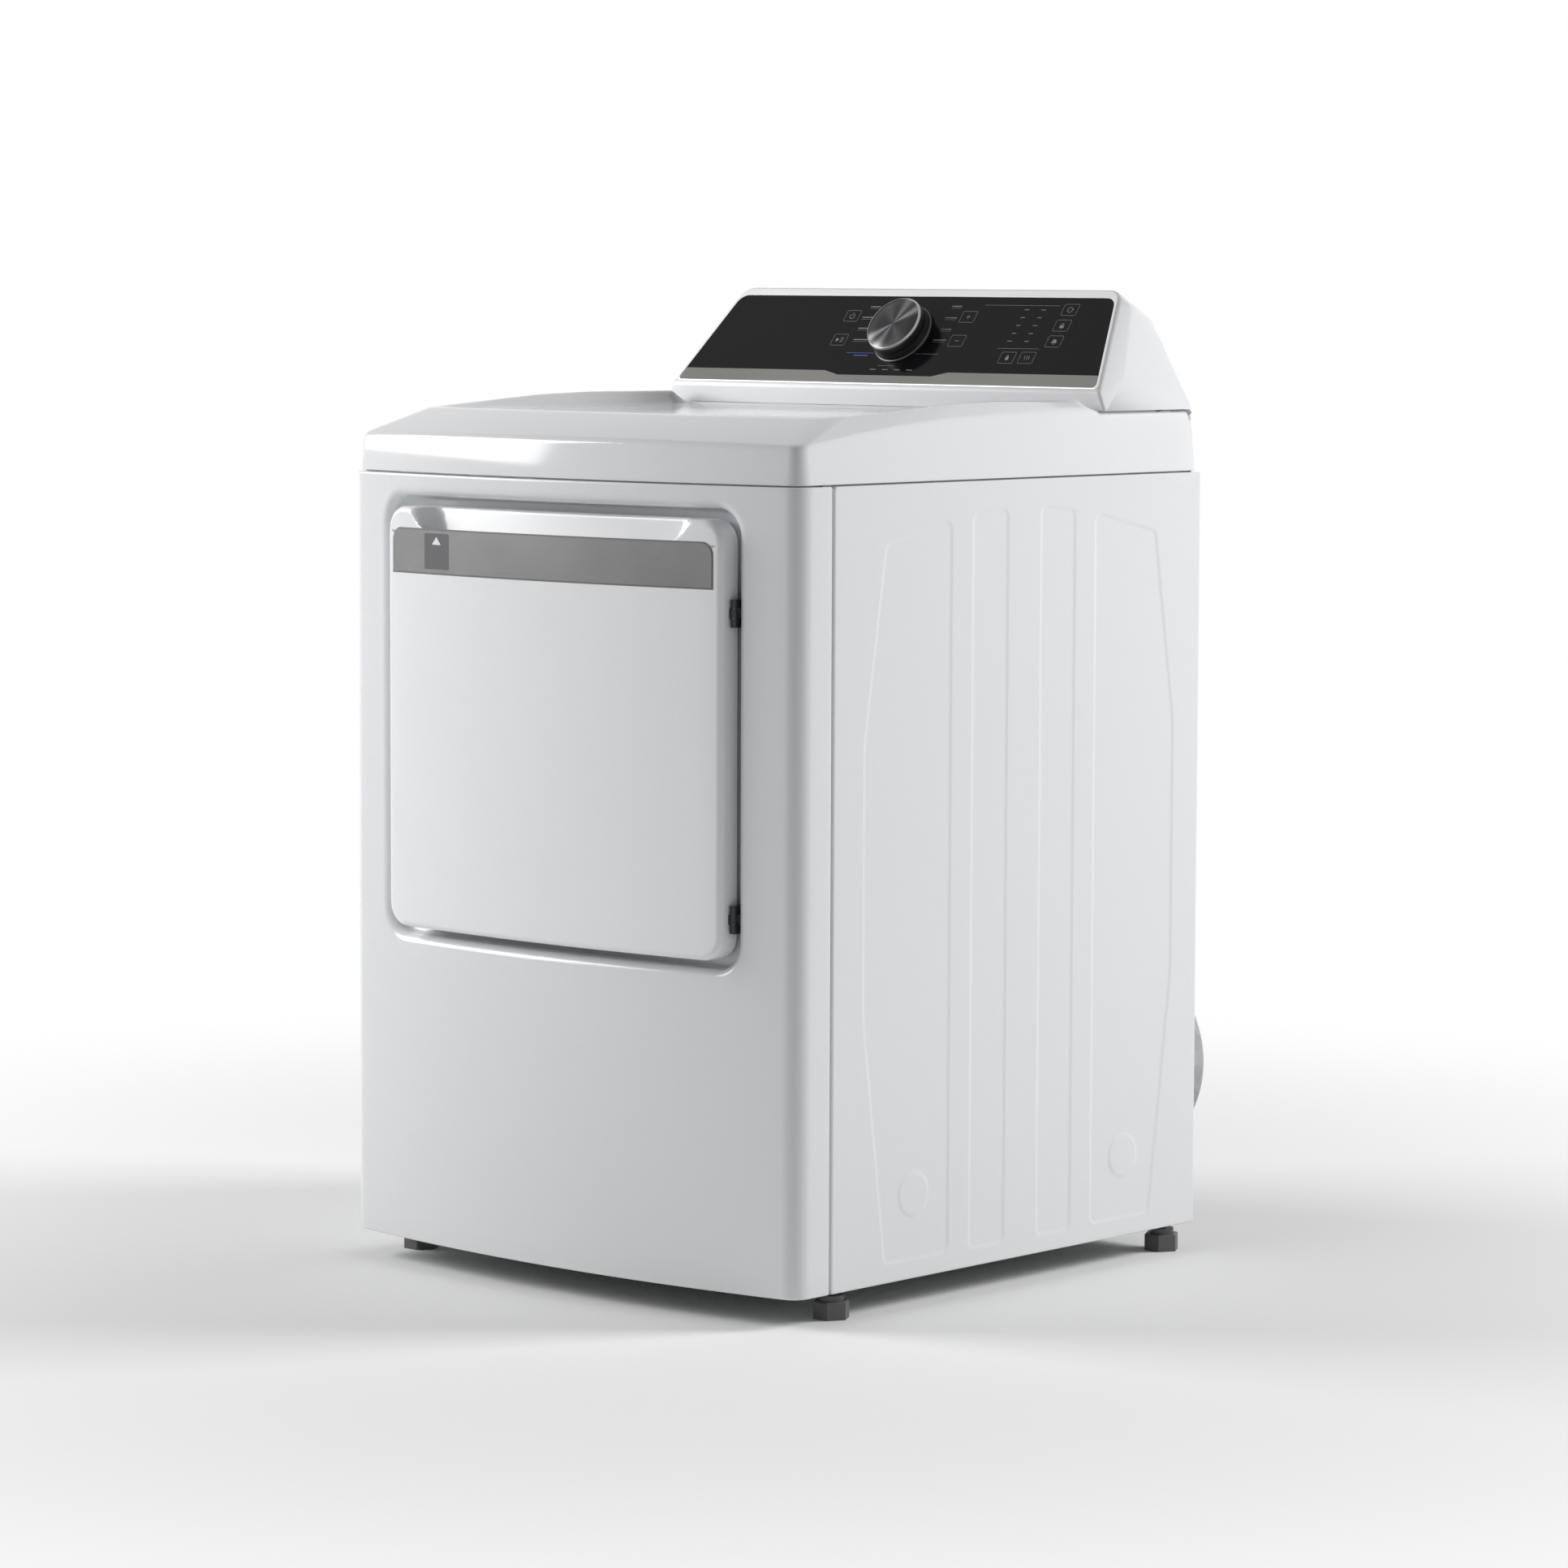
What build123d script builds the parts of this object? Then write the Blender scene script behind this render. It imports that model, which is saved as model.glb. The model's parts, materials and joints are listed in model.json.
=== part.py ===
from build123d import *
import math
import os

# Clothes dryer: bowed cabinet, side-hinged door, drum on four rollers, belt drive and tilted console.
# Millimetres, +Z up, the front faces -Y, and the origin is on the floor under the middle of the box.

# Cabinet
half_width = 343.0
front_apex_y = -375.0
bow_radius = 1820.0
bow_axis_y = front_apex_y + bow_radius
corner_radius = 24.0
panel_seam_y = -291.0
side_front_y = -288.0
side_rear_y = 346.0
panel_bottom_z = 32.0
panel_top_z = 903.0
sheet = 0.9
flange_width = 16.0
inner_x = half_width - sheet
beyond = 60.0
tall = 1300.0

# Recess for the door
recess_middle_x = -3.75
recess_half_width = 267.25
recess_z = (382.0, 878.0)
recess_corner = 30.0
recess_floor_y = -337.0
lip_radius = 12.0
port_half_width = 200.0
port_z = (425.0, 795.0)
port_corner = 110.0

# Pressed fields of the side panels, as points (Y, Z) left of the panel's middle line
field_middle_y = 30.0
field_depth = 1.2
field_ramp = 3.0
wide_field = [(-201, 54), (-238, 330), (-238, 620), (-203, 838), (-95, 862), (-95, 54)]
wide_field_bends = (1, 2)
wide_bend_radius = 160.0
narrow_field = [(-58, 53), (-58, 867), (1, 872), (1, 53)]
field_corner = 9.0
boss_radius = 24.5
boss_from_middle = 183.0
boss_z = 126.0

# Rear panel, base and bulkhead
rear_panel_y = (side_rear_y - 2 * sheet, side_rear_y - sheet)
base_z = (panel_bottom_z + sheet, panel_bottom_z + 2 * sheet)
bulkhead_y = (-272.0, -272.0 + sheet)

# Top cover
cover_inset = 2.5
cover_bottom_z = 906.0
cover_rear_y = 342.0
cover_wall = 3.0
apron_draft = 4.5
apron_top_z = 949.0
slope_depth = 84.0
slope_top_z = 977.0
crown_depth = 340.0
crown_top_z = 991.0
crown_bend = 160.0
apron_bend = 9.0
crown_reach = 900.0
shoulder_width = 23.0
shoulder_drop = 18.0
shoulder_stations = (-375.0, -330.0, -270.0, -150.0, 0.0, 180.0)
rim_end_y = 153.0
deck_start_y = 175.0
deck_z = 975.0
tray_half_width = 308.0
tray_floor_z = 971.0
tray_front_depth = 92.0
tray_front_corner = 60.0
tray_rear_y = 172.0
tray_corner = 40.0
tray_cove = 12.0
lip_inset = (8.0, 14.0)

# Console, its profile as points (Y, Z)
console_profile = [(176, 975), (181, 997), (263.4, 1112), (322, 1072), (338, 975)]
console_half_width = 338.0
console_end_slope = 0.345
console_edge = 5.0
console_wall = 3.5
face_low = (181.0, 997.0)
face_high = (263.4, 1112.0)
face_length = math.dist(face_low, face_high)
face_up = ((face_high[0] - face_low[0]) / face_length, (face_high[1] - face_low[1]) / face_length)
face_half_low = console_half_width - console_end_slope * (face_low[1] - deck_z)
face_taper = console_end_slope * face_up[1]
bezel_margin = 2.5
bezel_width = 2.5
bezel_depth = 2.0
bezel_top_corner = 20.0
band_height = 22.0
dip_half_width = (95.0, 72.0)
dip_low = 16.0
knob_v = 71.0
knob_gap = 1.0
knob_height = 27.0
knob_base_radius = 40.0
knob_cap_radius = 36.5
knob_wall = 3.0
encoder_shaft_radius = 3.0
encoder_bush = 6.0
encoder_side = 26.0
board_level = -24.0
board_thickness = 1.6
board_size = (480.0, 84.0)
board_part_size = (28.0, 40.0)
board_part_height = 9.0
board_part_places = (-180.0, -120.0, 110.0, 150.0, 190.0)
board_post_x = 225.0
board_post_radius = 4.0
running_fit = 0.05

# Door
door_half_width = 255.5
door_z = (393.0, 867.0)
door_corner = 27.0
door_proud = 14.0
door_edge = 7.0
door_wall = 1.4
door_back_y = -345.0
liner_back_y = -342.0
plug_half_width = 192.0
plug_z = (433.0, 787.0)
plug_corner = 102.0
plug_back_y = -318.0
seal_back_y = -338.3
seal_inner_margin = 6.0
seal_width = 10.0
strip_half_width = 243.7
strip_z = (791.0, 842.0)
strip_top_corner = 13.0
strip_thickness = 1.0
scoop_half_width = 222.0
scoop_front_y = -379.0
scoop_back_y = -360.0
scoop_floor_z = 816.0
scoop_bend = 8.0
hinge_x = 259.5
hinge_y = -355.0
hinge_heights = (438.0, 767.0)
hinge_pin_radius = 2.0
knuckle_radius = 3.7
leaf_half_width = 3.4
knuckle_height = 9.5
knuckle_gap = 0.5
door_knuckle_height = 10.0
catch_x = -235.0
catch_z = 610.0
switch_z = 760.0
plunger_radius = 4.0

# Drum
drum_z = 565.0
drum_radius = 325.0
drum_wall = 0.8
drum_y = (-262.0, 318.0)
drum_front_rim = 285.0
drum_rear_rim = 305.0
baffle_inner_radius = 255.0
baffle_half_base = 42.0
baffle_half_tip = 14.0
baffle_wall = 2.5
baffle_y = (-235.0, 295.0)
baffle_angles = (90.0, 210.0, 330.0)
seal_clearance = 0.6
collar_radius = 277.0
collar_wall = 2.0
back_plate_radius = 300.0
back_plate_y = 322.0
inlet_x = 120.0
inlet_z = 500.0
inlet_radius = 70.0
inlet_hole = 5.0
inlet_pitch = 16.0

# Rollers
roller_radius = 30.0
roller_width = 25.0
roller_angle = 50.0
roller_gap = 0.3
roller_shaft_radius = 6.0
rear_roller_y = 290.0
front_roller_y = -255.0

# Motor, belt, idler and blower share the drive plane and the motor axis
motor_x = 40.0
motor_z = 137.0
motor_radius = 60.0
motor_y = (-180.0, -50.0)
motor_shaft_radius = 8.0
motor_pulley_radius = 11.0
belt_y = (-32.0, -24.0)
belt_thickness = 2.5
belt_gap = 0.4
idler_x = -35.0
idler_z = 185.0
idler_radius = 20.0
idler_pivot_x = -10.0
idler_pivot_z = 62.0
arm_y = (-20.0, -16.0)
blower_y = (-264.0, -194.0)
blower_radius = 95.0
blower_wall = 2.5
blower_inlet_radius = 57.0
wheel_radius = 75.0
wheel_blades = 24
duct_x = -90.0
duct_z = 110.0
duct_radius = 50.8
duct_wall = 1.2
duct_end_y = 390.0

# Lint filter and its chute
filter_half_width = 125.0
filter_y = (-305.0, -287.0)
filter_z = (290.0, 424.0)
filter_clearance = 2.0
filter_slot_height = 20.0
chute_half_width = 130.0
chute_y = (-312.0, -280.0)
chute_bottom_z = 60.0
chute_wall = 2.5

# Heater and rear duct
heater_x = 208.0
heater_z = 212.0
heater_radius = 70.0
heater_start_y = 60.0
coil_end_gap = 40.0
coil_rings = 6
coil_outer_radius = 50.0
coil_inner_radius = 45.0
coil_ring_width = 5.0
coil_rod_reach = 52.0
coil_rod_radius = 3.5
coil_angles = (90.0, 210.0, 330.0)
bulge_radius = 118.0
bulge_depth = 44.8
bulge_edge = 8.0
neck_radius = 82.0

# Feet
foot_x = 318.0
foot_front_y = -260.0
foot_rear_y = 318.0
foot_flats = 36.0
foot_block_z = 20.0
foot_step_z = 26.0
foot_step_radius = 14.0
foot_stem_radius = 6.0
foot_stem_top_z = 52.0
foot_boss_radius = 9.0

# Terminal box
terminal_x = -250.0
terminal_z = (560.0, 690.0)
terminal_half_width = 48.0
terminal_depth = 44.0
inlet_bore_radius = 14.3
terminal_wall = 3.0
terminal_block_half_width = 30.0
terminal_block_depth = 14.0
terminal_block_z = (640.0, 672.0)
terminal_post_depth = 20.0
terminal_post_pitch = 20.0
terminal_post_radius = 5.0

# Screws
screw_head_radius = 4.5
screw_head_height = 2.2
screw_shank_radius = 1.8
cabinet_screw_heights = (90.0, 350.0, 610.0, 870.0)
cabinet_screw_grip = 6.0
door_screw_x = 240.0
door_screw_heights = (430.0, 830.0)
door_screw_grip = 2.5

nodes = {}


def block(x, y, z):
    """Box between three pairs of coordinates."""
    size = [high - low for low, high in (x, y, z)]
    middle = [(low + high) / 2 for low, high in (x, y, z)]
    return Pos(*middle) * Box(*size)


def rod_y(x, z, span, radius):
    """Round bar along Y between two ends."""
    return Pos(x, sum(span) / 2, z) * Rot(90, 0, 0) * Cylinder(radius, span[1] - span[0])


def rod_z(x, y, span, radius):
    """Upright round bar between two heights."""
    return Pos(x, y, sum(span) / 2) * Cylinder(radius, span[1] - span[0])


def tube_y(x, z, span, outer, inner):
    """Round tube along Y."""
    return rod_y(x, z, span, outer) - rod_y(x, z, (span[0] - 1, span[1] + 1), inner)


def prism_y(outline, span):
    """Solid with an outline drawn in X and Z, between two values of Y."""
    return extrude(Plane.XZ.offset(-span[1]) * outline, span[1] - span[0])


def prism_x(outline, span):
    """Solid with an outline drawn in Y and Z, between two values of X."""
    return extrude(Plane.YZ.offset(span[0]) * outline, span[1] - span[0])


def polygon(points):
    """Flat outline through the given points."""
    return make_face(Polyline(*points, close=True))


def window(half_width_x, z, radius, grow=0.0):
    """Rounded rectangle in X and Z, centred on X, grown by a margin all round."""
    height = z[1] - z[0] + 2 * grow
    return Pos(0, sum(z) / 2) * RectangleRounded(2 * (half_width_x + grow), height, radius + grow)


def mirrored(solid):
    """The same piece on the other side of the cabinet."""
    return mirror(solid, about=Plane.YZ)


def bow_y(x, radius):
    """Y of the bowed front of a given radius at a place across the front."""
    return bow_axis_y - math.sqrt(radius**2 - x**2)


def bow_cylinder(radius):
    """Upright cylinder about the axis that the front is bowed around."""
    return Pos(0, bow_axis_y, tall / 2) * Cylinder(radius, tall)


def bowed_outline(x, radius, rear_y, corner):
    """Plan outline: bowed front, rounded front corners, straight sides and a straight rear edge."""
    shoulder_y = bow_y(x, radius)
    front = ThreePointArc((-x, shoulder_y), (0, bow_axis_y - radius), (x, shoulder_y))
    rest = Polyline((x, shoulder_y), (x, rear_y), (-x, rear_y), (-x, shoulder_y))
    face = make_face(front + rest)
    front_corners = face.vertices().sort_by(Axis.Y)[:2]
    return fillet(front_corners, corner)


def bowed_plan(inset, rear_y):
    """Plan outline of the cabinet, inset all round."""
    return bowed_outline(half_width - inset, bow_radius - inset, rear_y, corner_radius - inset)


def upright(plan, z):
    """Solid with a plan outline between two heights."""
    return extrude(Pos(0, 0, z[0]) * plan, z[1] - z[0])


def bow_edges(solid, radius):
    """Edges that lie on the bowed front of the given radius."""
    found = []
    for edge in solid.edges():
        middle = edge @ 0.5
        if abs(math.hypot(middle.X, middle.Y - bow_axis_y) - radius) < 0.1:
            found.append(edge)
    return found


def lip_edges(solid, radius):
    """Edges round the recess where it breaks through the bowed front."""
    found = []
    for edge in bow_edges(solid, radius):
        middle = edge @ 0.5
        across = abs(middle.X - recess_middle_x) < recess_half_width + 5
        if across and recess_z[0] - 5 < middle.Z < recess_z[1] + 5:
            found.append(edge)
    return found


def recess_prism(grow, floor_y):
    """Rounded prism of the door recess down to its floor."""
    outline = Pos(recess_middle_x, 0) * window(recess_half_width, recess_z, recess_corner, grow)
    return prism_y(outline, (-500, floor_y))


def port_prism(grow, span):
    """Rounded prism of the loading port."""
    return prism_y(window(port_half_width, port_z, port_corner, grow), span)


# Front panel: a bowed sheet with returns, stamped round the door
outer_front = upright(bowed_plan(0, panel_seam_y), (panel_bottom_z, panel_top_z))
outer_front -= recess_prism(0, recess_floor_y)
outer_front = fillet(lip_edges(outer_front, bow_radius), lip_radius)
behind = upright(bowed_plan(sheet, panel_seam_y + 1), (panel_bottom_z + sheet, panel_top_z - sheet))
behind -= recess_prism(sheet, recess_floor_y + sheet)
behind = fillet(lip_edges(behind, bow_radius - sheet), lip_radius - sheet)
flange_window = upright(bowed_plan(flange_width, panel_seam_y + 1), (0, tall))
flange_window -= recess_prism(sheet, recess_floor_y + sheet)
front_panel = outer_front - behind - flange_window
front_panel -= port_prism(0, (-400, -300))
catch_slot = block((catch_x - 7, catch_x + 7), (-345, -300), (catch_z - 12, catch_z + 12))
front_panel -= catch_slot
front_panel -= rod_y(catch_x, switch_z, (-345, -300), plunger_radius + 0.5)
nodes["front_panel"] = front_panel


# Side panels: flanged sheets with pressed fields and two round bosses
def field_outline(points, bends):
    """Rounded outline of one pressed field; the listed points are wide bends."""
    face = polygon(points)
    corners = face.vertices()
    places = [points[i] for i in bends]
    wide = [v for v in corners if any(math.dist((v.X, v.Y), p) < 1 for p in places)]
    if wide:
        face = fillet(wide, wide_bend_radius)
    sharp = [p for i, p in enumerate(points) if i not in bends]
    tight = [v for v in face.vertices() if any(math.dist((v.X, v.Y), p) < 1 for p in sharp)]
    return fillet(tight, field_corner)


def across_middle(points):
    """The same field on the other side of the side panel's middle line."""
    return [(2 * field_middle_y - y, z) for y, z in points]


side_fields = [
    field_outline(wide_field, wide_field_bends),
    field_outline(narrow_field, ()),
    field_outline(across_middle(narrow_field), ()),
    field_outline(across_middle(wide_field), wide_field_bends),
]
side_frame = block(
    (half_width - flange_width, half_width),
    (side_front_y, side_rear_y),
    (panel_bottom_z, panel_top_z),
)
side_inside = block(
    (0, inner_x),
    (side_front_y + sheet, side_rear_y - sheet),
    (panel_bottom_z + sheet, panel_top_z - sheet),
)
side_panel = side_frame - side_inside


def boss_discs(radius):
    """The two round bosses that stay proud inside the wide fields."""
    low = Pos(field_middle_y - boss_from_middle, boss_z) * Circle(radius)
    return low + Pos(field_middle_y + boss_from_middle, boss_z) * Circle(radius)


for field in side_fields:
    backed = offset(field, field_ramp) - boss_discs(boss_radius - field_ramp)
    side_panel += prism_x(backed, (inner_x - field_depth, inner_x))
    side_panel -= prism_x(field - boss_discs(boss_radius), (half_width - field_depth, half_width + 1))
nodes["right_side_panel"] = side_panel
nodes["left_side_panel"] = mirrored(side_panel)

# Rear panel, with ways through for the exhaust, the heater and the drum inlet
rear_panel = block((-inner_x, inner_x), rear_panel_y, (base_z[1], panel_top_z - sheet))
through_rear = (rear_panel_y[0] - 5, rear_panel_y[1] + 5)
rear_panel -= rod_y(duct_x, duct_z, through_rear, duct_radius - duct_wall)
rear_panel -= rod_y(heater_x, heater_z, through_rear, heater_radius - sheet)
rear_panel -= rod_y(inlet_x, inlet_z, through_rear, inlet_radius)
nodes["rear_panel"] = rear_panel

# Base pan with a threaded boss over each foot
foot_places = {
    "front_left": (-foot_x, foot_front_y),
    "front_right": (foot_x, foot_front_y),
    "rear_left": (-foot_x, foot_rear_y),
    "rear_right": (foot_x, foot_rear_y),
}
base_pan = upright(bowed_plan(sheet, rear_panel_y[1]), base_z)
base_pan -= nodes["right_side_panel"]
base_pan -= nodes["left_side_panel"]
for x, y in foot_places.values():
    base_pan += rod_z(x, y, (base_z[0], foot_stem_top_z - 2), foot_boss_radius)
for x, y in foot_places.values():
    base_pan -= rod_z(x, y, (0, foot_stem_top_z), foot_stem_radius + running_fit)
nodes["base_pan"] = base_pan

# Levelling feet: hexagon block, step and stem
for place, (x, y) in foot_places.items():
    hexagon = RegularPolygon(foot_flats / 2, 6, major_radius=False)
    foot = chamfer(upright(Pos(x, y) * hexagon, (0, foot_block_z)).edges().group_by(Axis.Z)[-1], 1.5)
    foot += rod_z(x, y, (foot_block_z, foot_step_z), foot_step_radius)
    foot += rod_z(x, y, (foot_step_z, foot_stem_top_z), foot_stem_radius)
    nodes["foot_" + place] = foot

# Front bulkhead with the drum's front collar
front_bulkhead = block((-inner_x, inner_x), bulkhead_y, (base_z[1], panel_top_z - sheet))
front_bulkhead -= port_prism(0, (-300, -240))
front_bulkhead -= rod_y(motor_x, motor_z, (-300, -240), blower_inlet_radius + blower_wall)
collar_y = (bulkhead_y[1], drum_y[0] + 6)
front_bulkhead += tube_y(0, drum_z, collar_y, collar_radius, collar_radius - collar_wall)
nodes["front_bulkhead"] = front_bulkhead

# Drum back plate: a dished disc on the rear panel, pierced where hot air comes in
back_plate = rod_y(0, drum_z, (back_plate_y, rear_panel_y[0]), back_plate_radius)
back_plate -= rod_y(0, drum_z, (back_plate_y + sheet, 400), back_plate_radius - sheet)
for row in range(-4, 5):
    for column in range(-4, 5):
        x = inlet_pitch * (column + 0.5 * (row % 2))
        z = inlet_pitch * row * math.sin(math.radians(60))
        if math.hypot(x, z) < inlet_radius - inlet_hole:
            back_plate -= rod_y(inlet_x + x, inlet_z + z, (back_plate_y - 5, back_plate_y + 5), inlet_hole)
nodes["drum_back_plate"] = back_plate

# Felt seals on the front collar and on the back plate
front_felt_y = (bulkhead_y[1], drum_y[0] + 5)
front_felt = tube_y(0, drum_z, front_felt_y, drum_front_rim - seal_clearance, collar_radius)
rear_felt_y = (drum_y[1] - 2, drum_y[1] + 10)
rear_felt = tube_y(0, drum_z, rear_felt_y, drum_rear_rim - seal_clearance, back_plate_radius)
rear_felt -= rod_y(0, drum_z, (drum_y[1] - 5, back_plate_y), back_plate_radius)
nodes["drum_seals"] = Compound(children=[front_felt, rear_felt])

# Throat between the loading port and the bulkhead, slotted for the lint filter
throat_y = (recess_floor_y + sheet, bulkhead_y[0])
throat = port_prism(3, throat_y) - port_prism(0, (-400, -200))
slot_x = (-filter_half_width - filter_clearance, filter_half_width + filter_clearance)
slot_y = (filter_y[0] - filter_clearance, filter_y[1] + filter_clearance)
throat -= block(slot_x, slot_y, (port_z[0] - filter_slot_height, port_z[0] + filter_slot_height))
nodes["door_throat"] = throat

# Drum shell with its rims, and three baffles
drum = rod_y(0, drum_z, drum_y, drum_radius)
drum -= rod_y(0, drum_z, (drum_y[0] + drum_wall, drum_y[1] - drum_wall), drum_radius - drum_wall)
drum -= rod_y(0, drum_z, (drum_y[0] - 5, 0), drum_front_rim)
drum -= rod_y(0, drum_z, (0, drum_y[1] + 5), drum_rear_rim)
nodes["drum_shell"] = drum
baffle_outline = polygon(
    [
        (baffle_inner_radius, -baffle_half_tip),
        (drum_radius, -baffle_half_base),
        (drum_radius, baffle_half_base),
        (baffle_inner_radius, baffle_half_tip),
    ]
)
tip_corners = baffle_outline.vertices().sort_by(Axis.X)[:2]
baffle_outline = fillet(tip_corners, baffle_half_tip * 0.7)
drum_inside = rod_y(0, drum_z, baffle_y, drum_radius - drum_wall)
baffle = prism_y(Pos(0, drum_z) * baffle_outline, baffle_y) & drum_inside
hollow_y = (baffle_y[0] + baffle_wall, baffle_y[1] - baffle_wall)
baffle -= prism_y(Pos(baffle_wall, drum_z) * offset(baffle_outline, -baffle_wall), hollow_y)
baffles = []
for angle in baffle_angles:
    about_drum = Pos(0, 0, drum_z) * Rot(0, -angle, 0) * Pos(0, 0, -drum_z)
    baffles.append(about_drum * baffle)
nodes["drum_baffles"] = Compound(children=baffles)

# Drum rollers on fixed shafts
roller_reach = drum_radius + roller_radius + roller_gap
roller_x = roller_reach * math.sin(math.radians(roller_angle))
roller_z = drum_z - roller_reach * math.cos(math.radians(roller_angle))
roller_places = {
    "front_left": (-roller_x, front_roller_y, bulkhead_y[1]),
    "front_right": (roller_x, front_roller_y, bulkhead_y[1]),
    "rear_left": (-roller_x, rear_roller_y, rear_panel_y[0]),
    "rear_right": (roller_x, rear_roller_y, rear_panel_y[0]),
}
shafts = []
for place, (x, y, wall_y) in roller_places.items():
    roller = rod_y(x, roller_z, (y, y + roller_width), roller_radius)
    for groove_y in (y - 1, y + roller_width - 5):
        roller -= tube_y(x, roller_z, (groove_y, groove_y + 6), roller_radius - 6, roller_shaft_radius + 5)
    roller -= rod_y(x, roller_z, (y - 1, y + roller_width + 1), roller_shaft_radius + running_fit)
    nodes["drum_roller_" + place] = roller
    ends = sorted((wall_y, y - 3 if wall_y > y else y + roller_width + 3))
    shafts.append(rod_y(x, roller_z, ends, roller_shaft_radius))
nodes["roller_shafts"] = Compound(children=shafts)

# Motor: casing with end bells, rotor on a shaft with the belt pulley turned on its end
motor_body = rod_y(motor_x, motor_z, (motor_y[0] + 10, motor_y[1] - 10), motor_radius)
motor_body += rod_y(motor_x, motor_z, motor_y, motor_radius - 9)
motor_body -= rod_y(motor_x, motor_z, (motor_y[0] + 14, motor_y[1] - 14), motor_radius - 16)
motor_body -= rod_y(motor_x, motor_z, (motor_y[0] - 5, motor_y[1] + 5), motor_shaft_radius + running_fit)
nodes["motor_body"] = motor_body
motor_shaft = rod_y(motor_x, motor_z, (blower_y[0] + 6, -20), motor_shaft_radius)
motor_shaft += rod_y(motor_x, motor_z, (motor_y[0] + 30, motor_y[1] - 30), motor_radius - 22)
motor_shaft += rod_y(motor_x, motor_z, (belt_y[0] - 3, belt_y[1] + 3), motor_pulley_radius)
for flange_y in (belt_y[0] - 3, belt_y[1] + 1):
    motor_shaft += rod_y(motor_x, motor_z, (flange_y, flange_y + 2), motor_pulley_radius + 4)
nodes["motor_shaft"] = motor_shaft

# Motor bracket: foot plate, two saddles, and an upright that carries the idler's pivot and spring
bracket_x = (motor_x - 70, motor_x + 70)
bracket_top = base_z[1] + 2
motor_bracket = block(bracket_x, (motor_y[0] + 5, -1), (base_z[1], bracket_top))
for saddle_y in (motor_y[0] + 20, motor_y[1] - 24):
    motor_bracket += block(bracket_x, (saddle_y, saddle_y + 4), (base_z[1], motor_z - 35))
motor_bracket -= rod_y(motor_x, motor_z, motor_y, motor_radius)
motor_bracket += block(bracket_x, (-4, -1), (base_z[1], idler_pivot_z + 18))
spring_z = idler_pivot_z + 50
spring_post_x = motor_x + 20
motor_bracket += block((spring_post_x, spring_post_x + 4), (-16, -1), (base_z[1], spring_z + 8))
motor_bracket += rod_y(idler_pivot_x, idler_pivot_z, (-24, -4), 4)
nodes["motor_bracket"] = motor_bracket


# Drive belt: runs round the drum and the motor pulley and is pressed inwards by the idler
def tangent(first, second):
    """Directed common tangent of two circles (x, z, signed radius), turning left when positive."""
    dx = second[0] - first[0]
    dz = second[1] - first[1]
    heading = math.atan2(dz, dx) - math.asin((second[2] - first[2]) / math.hypot(dx, dz))
    left = (-math.sin(heading), math.cos(heading))
    ends = [(c[0] - left[0] * c[2], c[1] - left[1] * c[2]) for c in (first, second)]
    return ends


def belt_loop(outwards):
    """Closed loop of the belt, moved outwards by part of its thickness."""
    middle = belt_gap + belt_thickness / 2
    circles = [
        (0, drum_z, drum_radius + middle + outwards),
        (idler_x, idler_z, -(idler_radius + middle - outwards)),
        (motor_x, motor_z, motor_pulley_radius + middle + outwards),
    ]
    runs = [tangent(circles[i], circles[(i + 1) % 3]) for i in range(3)]
    loop = Curve()
    for i, (x, z, radius) in enumerate(circles):
        arrive = runs[i - 1][1]
        leave = runs[i][0]
        start = math.atan2(arrive[1] - z, arrive[0] - x)
        turn = (math.atan2(leave[1] - z, leave[0] - x) - start) % (2 * math.pi)
        if radius < 0:
            turn -= 2 * math.pi
        half = start + turn / 2
        crest = (x + abs(radius) * math.cos(half), z + abs(radius) * math.sin(half))
        loop += ThreePointArc(arrive, crest, leave)
        loop += Line(leave, runs[i][1])
    return make_face(loop)


belt_outline = belt_loop(belt_thickness / 2) - belt_loop(-belt_thickness / 2)
nodes["drive_belt"] = prism_y(belt_outline, belt_y)

# Idler: flanged pulley on an arm that its spring pulls against the belt
idler_pulley_y = (belt_y[0] - 4, arm_y[0] - 0.5)
idler_pulley = rod_y(idler_x, idler_z, idler_pulley_y, idler_radius)
for flange_y in (idler_pulley_y[0], idler_pulley_y[1] - 2):
    idler_pulley += rod_y(idler_x, idler_z, (flange_y, flange_y + 2), idler_radius + 2)
idler_pulley -= rod_y(idler_x, idler_z, (-50, 0), 4 + running_fit)
nodes["idler_pulley"] = idler_pulley
arm_length = math.dist((idler_x, idler_z), (idler_pivot_x, idler_pivot_z))
arm_tilt = math.degrees(math.atan2(idler_z - idler_pivot_z, idler_x - idler_pivot_x))
arm_middle = Pos((idler_x + idler_pivot_x) / 2, (idler_z + idler_pivot_z) / 2)
arm_outline = arm_middle * Rot(0, 0, arm_tilt) * SlotCenterToCenter(arm_length, 18)
idler_arm = prism_y(arm_outline, arm_y)
idler_arm -= rod_y(idler_pivot_x, idler_pivot_z, (-50, 0), 4 + running_fit)
idler_arm += rod_y(idler_x, idler_z, (belt_y[0] - 7, arm_y[0]), 4)
stud_x = idler_pivot_x - 10
idler_arm += rod_y(stud_x, spring_z, (arm_y[1], -6), 2.5)
nodes["idler_arm"] = idler_arm

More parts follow.
